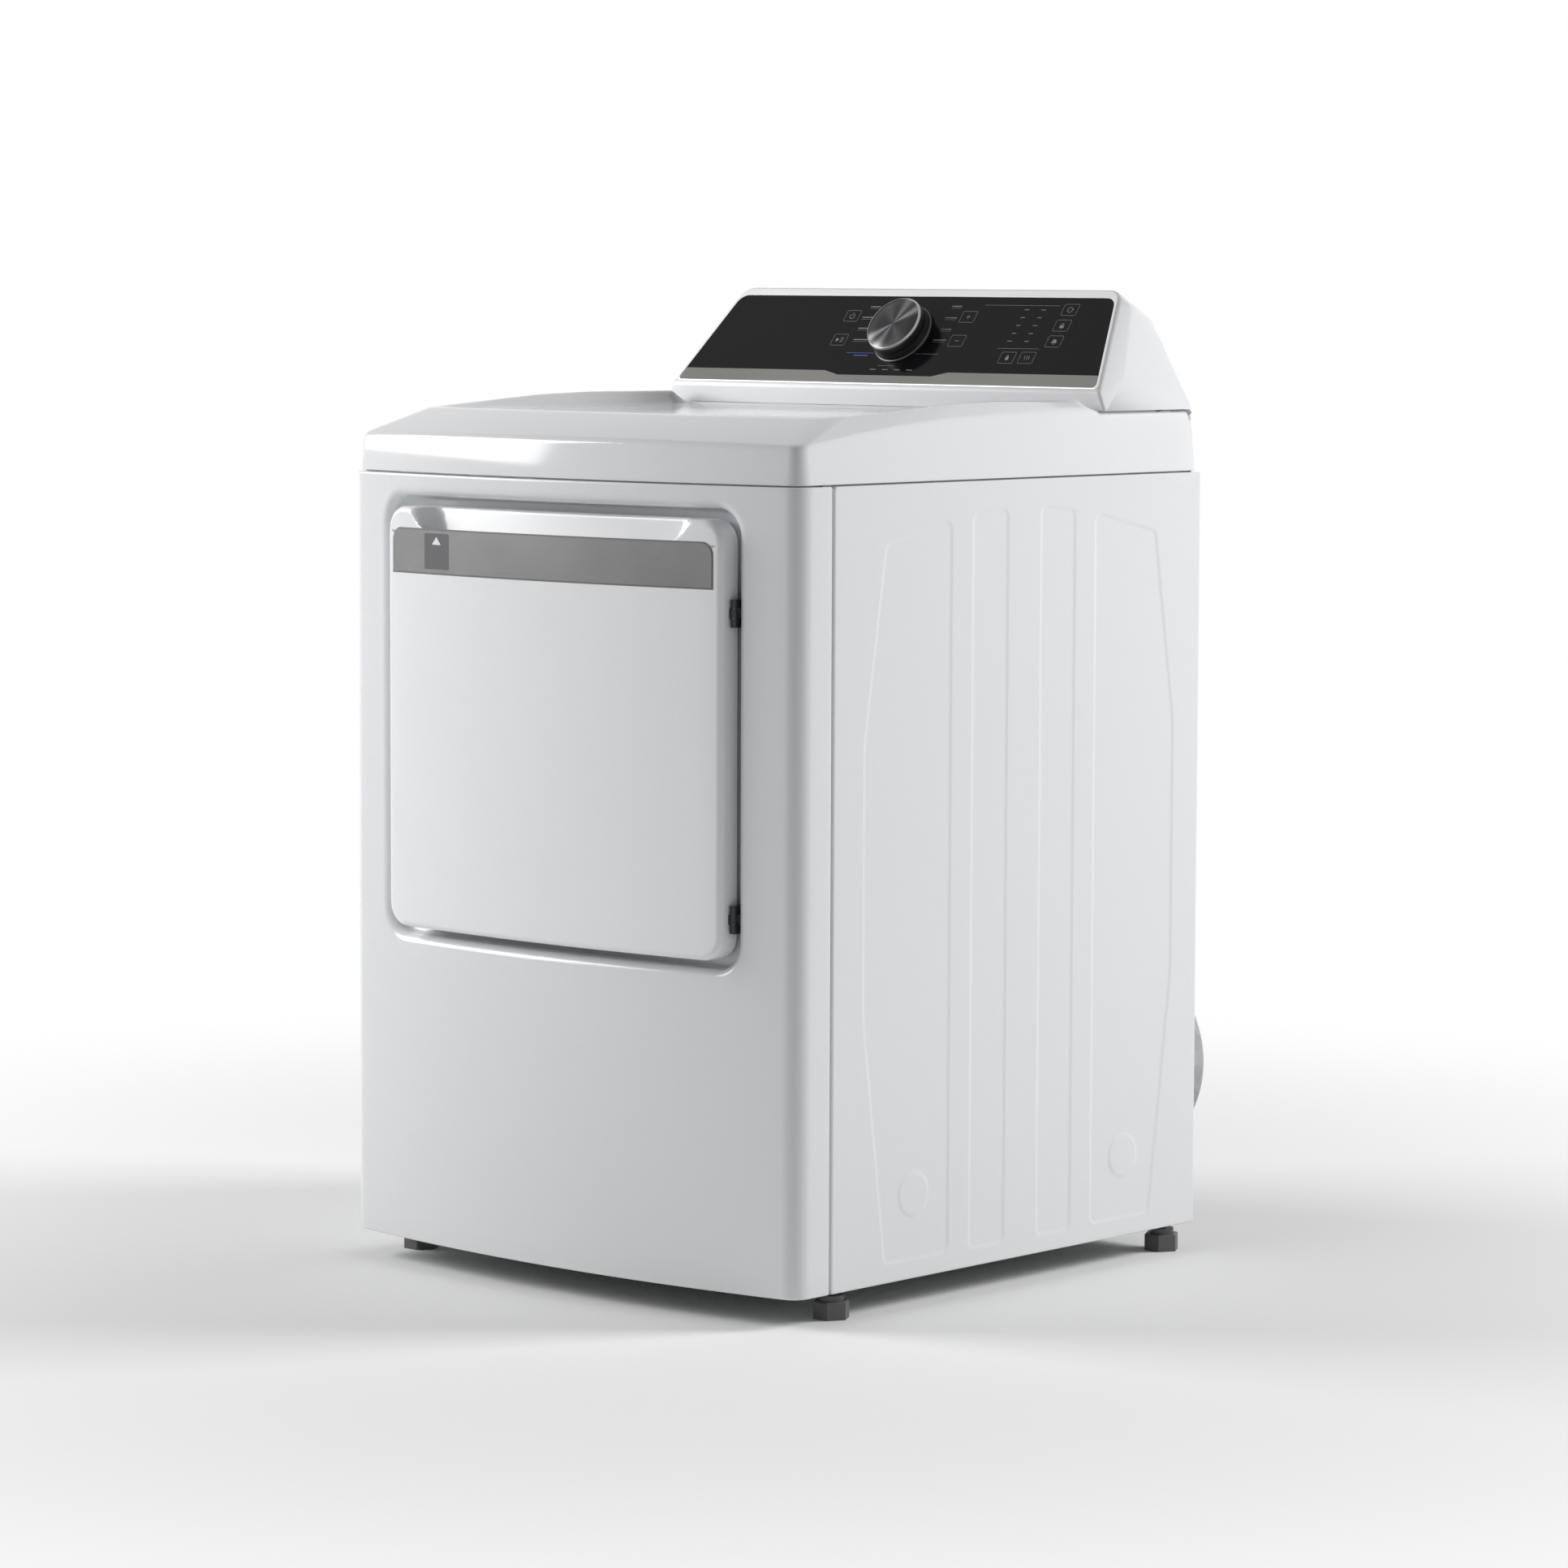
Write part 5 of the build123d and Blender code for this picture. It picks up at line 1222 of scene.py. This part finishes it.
@dataclass
class Console:
    """The tilted console: white housing, silver frame, brushed band and black face."""

    plane: FacePlane = FacePlane()
    foot: Pair = (175.0, 975.0)
    crease: Tuple[Pair, Pair] = ((222.0, 1010.0), (266.0, 1093.0))
    rear_top: Pair = (299.0, 1076.0)
    rear_foot: Pair = (338.0, 975.0)
    half_width: float = 338.0
    end_slope: float = 0.30
    edge: float = 4.0
    edge_steps: int = 5
    soft_from: float = 8.0
    foot_edge: float = 0.5
    face_length: float = 145.36
    face_half: float = 330.4
    face_taper: float = 0.273
    face_trim: float = 1.0
    face_rim: float = 0.4
    face_draft: float = 0.05
    face_sink: float = 2.4
    face_radii: Tuple[float, ...] = (8, 8, 22, 22)
    corner_run: float = 18.0
    corner_steps: int = 6
    frame_margin: float = 3.0
    frame_side: float = 3.4
    frame_top: float = 10.5
    frame_foot: float = 2.2
    frame_proud: float = 0.4
    frame_depth: float = 1.8
    frame_bend: float = 1.3
    opening_radii: Tuple[float, ...] = (5, 5, 16, 16)
    opening_edge: Tuple[Pair, ...] = ((0.0, -1.8), (0.0, 0.1), (0.25, 0.4))
    panel_edge: Tuple[Pair, ...] = ((1.0, -2.2), (1.0, -0.1), (0.9, 0.0))
    band_edge: Tuple[Pair, ...] = ((0.2, -1.8), (0.2, 0.05), (0.0, 0.3))
    band_height: float = 22.0
    band_radii: Tuple[float, ...] = (5, 5, 3, 9, 9, 9, 9, 3)
    dip: Tuple[float, float, float] = (95.0, 72.0, 16.0)

    def half_at(self, v: float) -> float:
        """Half the face's width at a height V."""
        return self.face_half - self.face_taper * v

    def build(self) -> None:
        """Builds the housing and the frame."""
        self.housing()
        self.frame()

    def housing(self) -> None:
        """Builds the white housing with its bevelled ends, soft edges and sunk face."""
        form = bmesh.new()
        ends = {side: self.end(form, side) for side in Side}
        inner = set()
        for foot, low, *turn, crease_low, crease_top, rear, heel in ends.values():
            half = len(turn) // 2
            form.faces.new((foot, low, crease_low))
            form.faces.new((low, turn[0], crease_top, crease_low))
            form.faces.new((turn[half], rear, crease_top))
            form.faces.new((foot, crease_low, crease_top, rear, heel))
            for number, pair in enumerate(zip(turn, turn[1:])):
                form.faces.new((*pair, crease_top if number < half else rear))
            inner.update(turn[1:-1])
        right, left = ends.values()
        form.faces.new(right[1:-4] + left[-5:0:-1])
        for first, second in ((0, 1), (-5, -2), (-2, -1), (-1, 0)):
            form.faces.new((right[first], right[second], left[second], left[first]))
        bmesh.ops.recalc_face_normals(form, faces=form.faces)
        floor = (self.foot[1] + self.foot_edge) * MM
        corners = set(right[-4:] + left[-4:])
        soft = [e for e in form.edges
                if e.calc_face_angle(0.0) > math.radians(self.soft_from) and max(v.co.z for v in e.verts) > floor
                and not (inner.intersection(e.verts) and corners.intersection(e.verts))]
        bmesh.ops.bevel(form, geom=soft, offset=self.edge * MM, segments=self.edge_steps, profile=0.5, affect="EDGES")
        out = Vector((0.0, -self.plane.up[1], self.plane.up[0]))
        face = max((f for f in form.faces if f.normal.dot(out) > 0.99), key=lambda f: f.calc_area())
        for inset, depth in ((self.face_rim, 0.0), (self.face_draft, -self.face_sink)):
            bmesh.ops.inset_region(form, faces=[face], thickness=inset * MM, depth=depth * MM)
        Piece("console_moulding", HOUSING_WHITE, "cabinet", "cover_white", ["console_housing"]).settle(form)

    def end(self, form: bmesh.types.BMesh, side: Side) -> List[bmesh.types.BMVert]:
        """Sets the corners of one end of the housing.

        Args:
            form: The mesh that is being made.
            side: Which end.

        Returns:
            Foot, face's lower corner, the turn at its upper one, both ends of the crease, rear top and rear foot.
        """
        length, run = self.face_length, self.corner_run
        start, corner, last = (
            np.array((self.half_at(v) - self.face_trim - inset, v))
            for v, inset in ((length - run, 0.0), (length, 0.0), (length, run)))
        turn = turned_corner(start, corner, last, self.corner_steps)
        face = np.vstack(((self.half_at(0.0) - self.face_trim, 0.0), turn))
        wall = [(self.half_width - self.end_slope * (z - self.foot[1]), y, z)
                for y, z in (self.foot, *self.crease, self.rear_top, self.rear_foot)]
        corners = wall[:1] + [tuple(p) for p in self.plane.placed(face, 0.0)] + wall[1:]
        return [form.verts.new((side.value * x * MM, y * MM, z * MM)) for x, y, z in corners]

    def frame(self) -> None:
        """Builds the bright frame, the brushed band that closes it below, and the black face in it."""
        length, low = self.face_length, self.band_height
        wide, slim, drop = self.dip
        face = self.bay(0.0, length, 0.0)
        rim = self.frame_margin + self.frame_side
        opening = self.bay(self.frame_margin + self.frame_foot, length - self.frame_margin - self.frame_top, rim)
        end = self.half_at(low) - rim
        band = opening[:2] + [(end, low), (wide, low), (slim, drop), (-slim, drop), (-wide, low), (-end, low)]
        edge = [(-self.frame_margin, -self.frame_depth)]
        edge += [(-self.frame_margin - inset, self.frame_proud - drop) for inset, drop in roll(self.frame_bend, 6)]
        rim = self.rings(face, self.face_radii, edge)
        hole = self.rings(opening, self.opening_radii, self.opening_edge)
        strip = self.rings(band, self.band_radii, self.band_edge)
        panel = self.rings(opening, self.opening_radii, self.panel_edge)
        for skin, name, finish, slot, *stands_for in (
                (Skin().plate(rim, hole), "console_frame", FRAME_SILVER, "console_silver", "console_bezel"),
                (Skin().plate(strip), "console_band", BAND_TAUPE, "console_silver"),
                (Skin().plate(panel), "console_face", CONSOLE_BLACK, "console_black", "control_panel")):
            skin.make(Piece(name, finish, "cabinet", slot, stands_for))

    def bay(self, low: float, high: float, side: float) -> List[Pair]:
        """Gives the four corners of a part of the face, drawn in at its sides."""
        right = [(self.half_at(v) - side, v) for v in (low, high)]
        return [(-right[0][0], low), *right, (-right[1][0], high)]

    def rings(self, corners: Sequence[Pair], radii: Sequence[float], edge: Iterable[Pair]) -> List[np.ndarray]:
        """Puts a rounded outline over the face, once for each growth and height of an edge."""
        return [self.plane.placed(rounded_polygon(corners, radii, grow, 10), height) for grow, height in edge]


STROKE = 0.75


@dataclass(frozen=True)
class Symbol:
    """A plain symbol, drawn about the middle of a key.

    Args:
        bars: Place, width and height of each bar.
        arcs: Centre, radius, first and last angle in degrees of each arc.
        patches: Outlines of its solid parts.
    """

    bars: Tuple[Tuple[float, ...], ...] = ()
    arcs: Tuple[Tuple[float, ...], ...] = ()
    patches: Tuple[Tuple[Pair, ...], ...] = ()


class Icon(Enum):
    """The symbols on the touch keys."""

    POWER = Symbol(((0.0, 2.4, STROKE, 4.2),), ((0.0, -0.4, 3.6, 125, 415),))
    START = Symbol(((2.4, 0.0, STROKE, 6.0), (4.8, 0.0, STROKE, 6.0)), (), (((-5.4, -3.0), (-0.4, 0.0), (-5.4, 3.0)),))
    PLUS = Symbol(((0.0, 0.0, 6.0, STROKE), (0.0, 1.8, STROKE, 2.6), (0.0, -1.8, STROKE, 2.6)))
    MINUS = Symbol(((0.0, 0.0, 6.0, STROKE),))
    DROP = Symbol(patches=((*arc((0.0, -1.0), 2.6, 150, 390, 20), (0.0, 4.2)),))
    HEAT = Symbol((), tuple((shift + u, v, 1.9, first, first + 80) for shift in (-3.2, 0.0, 3.2)
                            for u, v, first in ((-1.4, -1.5, -40), (1.5, 1.5, 140))))
    TURN = Symbol((), ((0.0, 0.0, 3.6, 60, 350),), (((2.0, -0.2), (5.2, -0.2), (3.6, 2.4)),))
    LOCK = Symbol((), ((0.0, 0.9, 2.0, 0, 180),),
                  (tuple(map(tuple, rounded_polygon(rectangle(0.0, -1.7, 6.0, 4.2), [0.6] * 4))),))
    BELL = Symbol(((0.0, -3.8, 2.2, STROKE),), (),
                  ((*arc((0.0, 0.0), 3.0, 0, 180.01, 16), (-3.0, 0.0), (-3.8, -2.4), (3.8, -2.4)),))


@dataclass
class ConsoleMarks:
    """The thin printed marks on the black face: touch keys, programme ticks, lamps and lines."""

    plane: FacePlane = FacePlane()
    skin: Skin = field(default_factory=Skin)
    level: Pair = (0.0, 0.07)
    key_size: Pair = (22.0, 16.5)
    key_corner: float = 2.2
    key_line: float = 0.42
    keys: Tuple[Tuple[Icon, float, float], ...] = (
        (Icon.POWER, -95.3, 102.4), (Icon.START, -96.8, 67.1), (Icon.PLUS, 83.7, 102.9),
        (Icon.MINUS, 84.4, 68.1), (Icon.DROP, 171.9, 45.0), (Icon.HEAT, 201.0, 45.4),
        (Icon.TURN, 230.2, 114.6), (Icon.LOCK, 229.7, 92.0), (Icon.BELL, 229.6, 69.2))
    ticks: Tuple[Tuple[float, float, float], ...] = (
        (-65.8, 115.1, 16), (-69.2, 99.3, 19), (-68.5, 83.2, 16), (-63.9, 66.5, 22),
        (58.8, 116.9, 15), (58.4, 100.0, 18), (59.5, 83.2, 16), (57.7, 67.6, 20))
    tick_bars: Tuple[Pair, Pair] = ((1.2, 1.3), (-1.6, 0.35))
    lamps_u: Pair = (166.3, 191.3)
    lamps_v: Tuple[float, ...] = (114.0, 102.8, 91.4, 80.1, 68.8)
    lamp_lean: float = 0.06
    lamp_size: Pair = (7.0, 0.9)
    foot_marks: Tuple[float, ...] = (-22.0, -3.1, 15.6, 34.4)
    foot_v: float = 24.7
    foot_size: Pair = (9.0, 1.0)
    lines: Tuple[Tuple[float, float, float], ...] = (
        (100.9, 212.7, 120.2), (150.5, 212.5, 58.2), (25.5, 66.5, 48.3), (-17.4, 8.6, 30.3))
    line_height: float = 0.4
    accents: Tuple[Tuple[float, float, float, float], ...] = ((-54.5, 48.3, 43.2, 0.6), (-51.5, 44.7, 22.0, 1.2))

    def build(self) -> None:
        """Prints all the marks."""
        for icon, u, v in self.keys:
            self.key(u, v)
            self.symbol(icon.value, u, v)
        self.printed("touch_keys", PRINT_GREY)
        for u, v, length in self.ticks:
            for rise, height in self.tick_bars:
                self.bar(u, v + rise, length, height)
        for v in self.lamps_v:
            for u in self.lamps_u:
                self.bar(u - (self.lamps_v[0] - v) * self.lamp_lean, v, *self.lamp_size)
        for u in self.foot_marks:
            self.bar(u, self.foot_v, *self.foot_size)
        for start, end, v in self.lines:
            self.bar((start + end) / 2, v, end - start, self.line_height)
        self.printed("programme_marks", PRINT_GREY)
        for accent in self.accents:
            self.bar(*accent)
        self.printed("accent_line", PRINT_BLUE)

    def printed(self, name: str, finish: Finish) -> None:
        """Makes one piece of the marks gathered so far, and starts afresh."""
        self.skin.make(Piece(name, finish, "cabinet", "console_silver", sharp=30.0))
        self.skin = Skin()

    def slab(self, *loops: np.ndarray) -> None:
        """Prints a flat shape from its outline (U, V) and any holes."""
        self.skin.plate(*[[self.plane.placed(np.array(loop), h) for h in self.level] for loop in loops])

    def bar(self, u: float, v: float, width: float, height: float) -> None:
        """Prints a bar with round ends about a point."""
        self.slab(rounded_polygon(rectangle(u, v, width, height), [height * 0.49] * 4, 0.0, 4))

    def key(self, u: float, v: float) -> None:
        """Prints the outline of a key about a point."""
        corners, radii = rectangle(u, v, *self.key_size), [self.key_corner] * 4
        self.slab(*[rounded_polygon(corners, radii, grow) for grow in (0.0, -self.key_line)])

    def curve(self, u: float, v: float, radius: float, first: float, last: float) -> None:
        """Prints an arc of a line about a point.

        Args:
            u: Centre across the face.
            v: Centre up the face.
            radius: Radius of the line's middle.
            first: First angle, in degrees.
            last: Last angle.
        """
        beyond = last + (last - first) / 24
        outside, inside = (arc((u, v), radius + side, first, beyond, 25) for side in (STROKE / 2, -STROKE / 2))
        self.slab(outside + inside[::-1])

    def symbol(self, symbol: Symbol, u: float, v: float) -> None:
        """Prints a symbol about a point.

        Args:
            symbol: The symbol.
            u: Its middle across the face.
            v: Its middle up the face.
        """
        for across, up, *size in symbol.bars:
            self.bar(u + across, v + up, *size)
        for across, up, *sweep in symbol.arcs:
            self.curve(u + across, v + up, *sweep)
        for patch in symbol.patches:
            self.slab(np.add(patch, (u, v)))


@dataclass
class Knob:
    """The programme knob: charcoal skirt, bright chamfer and spun face with painted highlight streaks."""

    plane: FacePlane = FacePlane((0.0, 181.0, 997.0), (0.58244, 0.81288))
    height_v: float = 71.0
    steps: int = 120
    skirt: Tuple[Pair, ...] = (
        (0, 1.0), (38.6, 1.0), (39.7, 1.5), (40.0, 2.6), (40.0, 5.2), (39.6, 6.2), (38.5, 6.8), (38.1, 8.0),
        (37.4, 18.0), (37.0, 24.2), (36.6, 24.6), (0, 24.6))
    chamfer: Tuple[Pair, ...] = (
        (34.6, 24.4), (36.7, 24.4), (36.9, 24.9), (36.8, 25.6), (35.5, 27.5), (35.2, 27.7), (34.9, 27.7), (34.7, 27.4),
        (34.6, 24.4))
    face: Tuple[Pair, ...] = ((0, 24.4), (34.7, 24.4), (34.7, 27.1), (34.4, 27.3), (20.0, 27.15), (0, 27.0))

    def build(self) -> None:
        """Turns the knob's three profiles (radius, height) about its axis."""
        angles = np.linspace(0.0, 2 * math.pi, self.steps, endpoint=False)
        circle = np.column_stack((np.cos(angles), np.sin(angles)))
        for profile, name, finish, *stands_for in (
                (self.skirt, "knob_skirt", KNOB_SKIRT, "selector_knob"), (self.chamfer, "knob_chamfer", KNOB_RING),
                (self.face, "knob_face", KNOB_METAL)):
            skin = Skin()
            skin.loft([np.column_stack((circle * radius, np.full(self.steps, height))) for radius, height in profile])
            skin.make(Piece(name, finish, "selector", "knob_metal", stands_for, place=self.plane.matrix(self.height_v)))


@dataclass
class CarriedParts:
    """The CAD nodes that keep their own shape and get a finish here."""

    finishes: Dict[str, Finish] = field(default_factory=lambda: dict(SLOT_FINISHES))

    def dress(self) -> None:
        """Gives every CAD node the finish of its slot."""
        for row in frame["record"]["subparts"]:
            node = frame["nodes"][row["node"]]
            node.data.materials.clear()
            node.data.materials.append(self.finishes[row["material_slot"]].material())
            LOG.info("dressed %s as %s", row["node"], row["material_slot"])


@dataclass(frozen=True)
class Softbox:
    """One soft lamp of the studio.

    Args:
        name: Name of the lamp.
        place: Where it stands, in metres.
        aim: The point that it faces, in metres.
        size: Its width and height, in metres.
        watts: Its power.
        mirrored: Whether glossy surfaces show it.
    """

    name: str
    place: Point
    aim: Point
    size: Pair
    watts: float
    mirrored: bool = True

    def build(self) -> None:
        """Sets the lamp up in the scene."""
        data = bpy.data.lights.new(self.name, "AREA")
        data.shape = "RECTANGLE"
        data.size, data.size_y = self.size
        data.energy = self.watts
        lamp = bpy.data.objects.new(self.name, data)
        lamp.location = self.place
        lamp.visible_glossy = self.mirrored
        lamp.rotation_euler = (Vector(self.aim) - Vector(self.place)).to_track_quat("-Z", "Y").to_euler()
        bpy.context.collection.objects.link(lamp)


@dataclass
class Studio:
    """Floor, light and camera."""

    floor_reach: float = 9.0
    floor_shade: Colour = (0.9, 0.9, 0.895)
    fade_start: float = 0.6
    fade_end: float = 2.2
    ambient: float = 0.19
    lamps: Tuple[Softbox, ...] = (
        Softbox("key_softbox", (-3.1, -2.0, 2.1), (0.0, -0.3, 0.6), (2.2, 1.8), 122.0),
        Softbox("side_softbox", (2.9, 2.9, 2.6), (0.3, 0.0, 0.5), (1.6, 1.6), 158.0, False),
    )
    eye: Point = (4.25692, -4.70728, 1.13750)
    yaw: float = 42.0440
    pitch: float = -5.3443
    roll: float = 0.2059
    lens: float = 127.3423
    sensor: float = 36.0

    def build(self) -> None:
        """Sets up the whole studio."""
        self.floor()
        self.world()
        for lamp in self.lamps:
            lamp.build()
        self.camera()
        bpy.context.scene.view_settings.view_transform = "Standard"

    def seen_rays(self, graph: Graph) -> Socket:
        """Gives 1 for the rays that show the background, and 0 for those that light the object."""
        camera, *others = (graph.node("LightPath", f"Is {kind} Ray") for kind in ("Camera", "Glossy", "Transmission"))
        return graph.math("MAXIMUM", graph.math("MAXIMUM", camera, others[0]), others[1])

    def floor(self) -> None:
        """Lays a pale floor that fades to white away from the dryer."""
        mesh = bpy.data.meshes.new("floor")
        r = self.floor_reach
        mesh.from_pydata([(-r, -r, 0), (r, -r, 0), (r, r, 0), (-r, r, 0)], [], [(0, 1, 2, 3)])
        plane = bpy.data.objects.new("floor", mesh)
        bpy.context.collection.objects.link(plane)
        mesh.materials.append(self.floor_material())

    def floor_material(self) -> bpy.types.Material:
        """Makes the floor's material.

        Returns:
            A matt material that turns to the white of the background with distance.
        """
        made = bpy.data.materials.new("floor_pale")
        graph = Graph(made)
        shader = graph.tree.nodes["Principled BSDF"]
        graph.feed(shader, {"Base Color": (*self.floor_shade, 1.0), "Roughness": 0.8, "Specular IOR Level": 0.1})
        length = graph.node("VectorMath", "Value", {0: graph.node("TexCoord", "Object")}, operation="LENGTH")
        reach = {"Value": length, "From Min": self.fade_start, "From Max": self.fade_end}
        fade = graph.node("MapRange", "Result", reach, interpolation_type="SMOOTHSTEP")
        shown = graph.math("MULTIPLY", fade, self.seen_rays(graph))
        graph.show(shown, shader.outputs["BSDF"], graph.node("Emission", "Emission"), "Material Output")
        return made

    def world(self) -> None:
        """Gives a white background and a low even light."""
        world = bpy.data.worlds.new("studio")
        bpy.context.scene.world = world
        graph = Graph(world)
        light, white = graph.tree.nodes["Background"], (1.0, 1.0, 1.0, 1.0)
        graph.feed(light, {"Color": white, "Strength": self.ambient})
        back = graph.node("Background", "Background", {"Color": white, "Strength": 1.0})
        graph.show(self.seen_rays(graph), light.outputs["Background"], back, "World Output")

    def camera(self) -> None:
        """Stands the camera where the photograph was taken from."""
        yaw, pitch, roll = (math.radians(a) for a in (self.yaw, self.pitch, self.roll))
        ahead = Vector((-math.sin(yaw) * math.cos(pitch), math.cos(yaw) * math.cos(pitch), math.sin(pitch)))
        right = Vector((math.cos(yaw), math.sin(yaw), 0.0))
        up = right.cross(ahead)
        right, up = (math.cos(roll) * right + math.sin(roll) * up, math.cos(roll) * up - math.sin(roll) * right)
        data = bpy.data.cameras.new("camera")
        data.sensor_width = self.sensor
        data.lens = self.lens
        camera = bpy.data.objects.new("camera", data)
        turn = Matrix((right, up, -ahead)).transposed()
        camera.matrix_world = Matrix.Translation(self.eye) @ turn.to_4x4()
        bpy.context.collection.objects.link(camera)
        bpy.context.scene.camera = camera


def main() -> None:
    """Dresses the dryer and sets up the studio."""
    logging.basicConfig(level=logging.INFO, format="%(message)s")
    CarriedParts().dress()
    FrontPanel().build()
    for side in Side:
        SidePanel(side).build()
    TopCover().build()
    Console().build()
    ConsoleMarks().build()
    Knob().build()
    Door().build()
    DoorStrip().build()
    Studio().build()


if __name__ == "__main__":
    main()
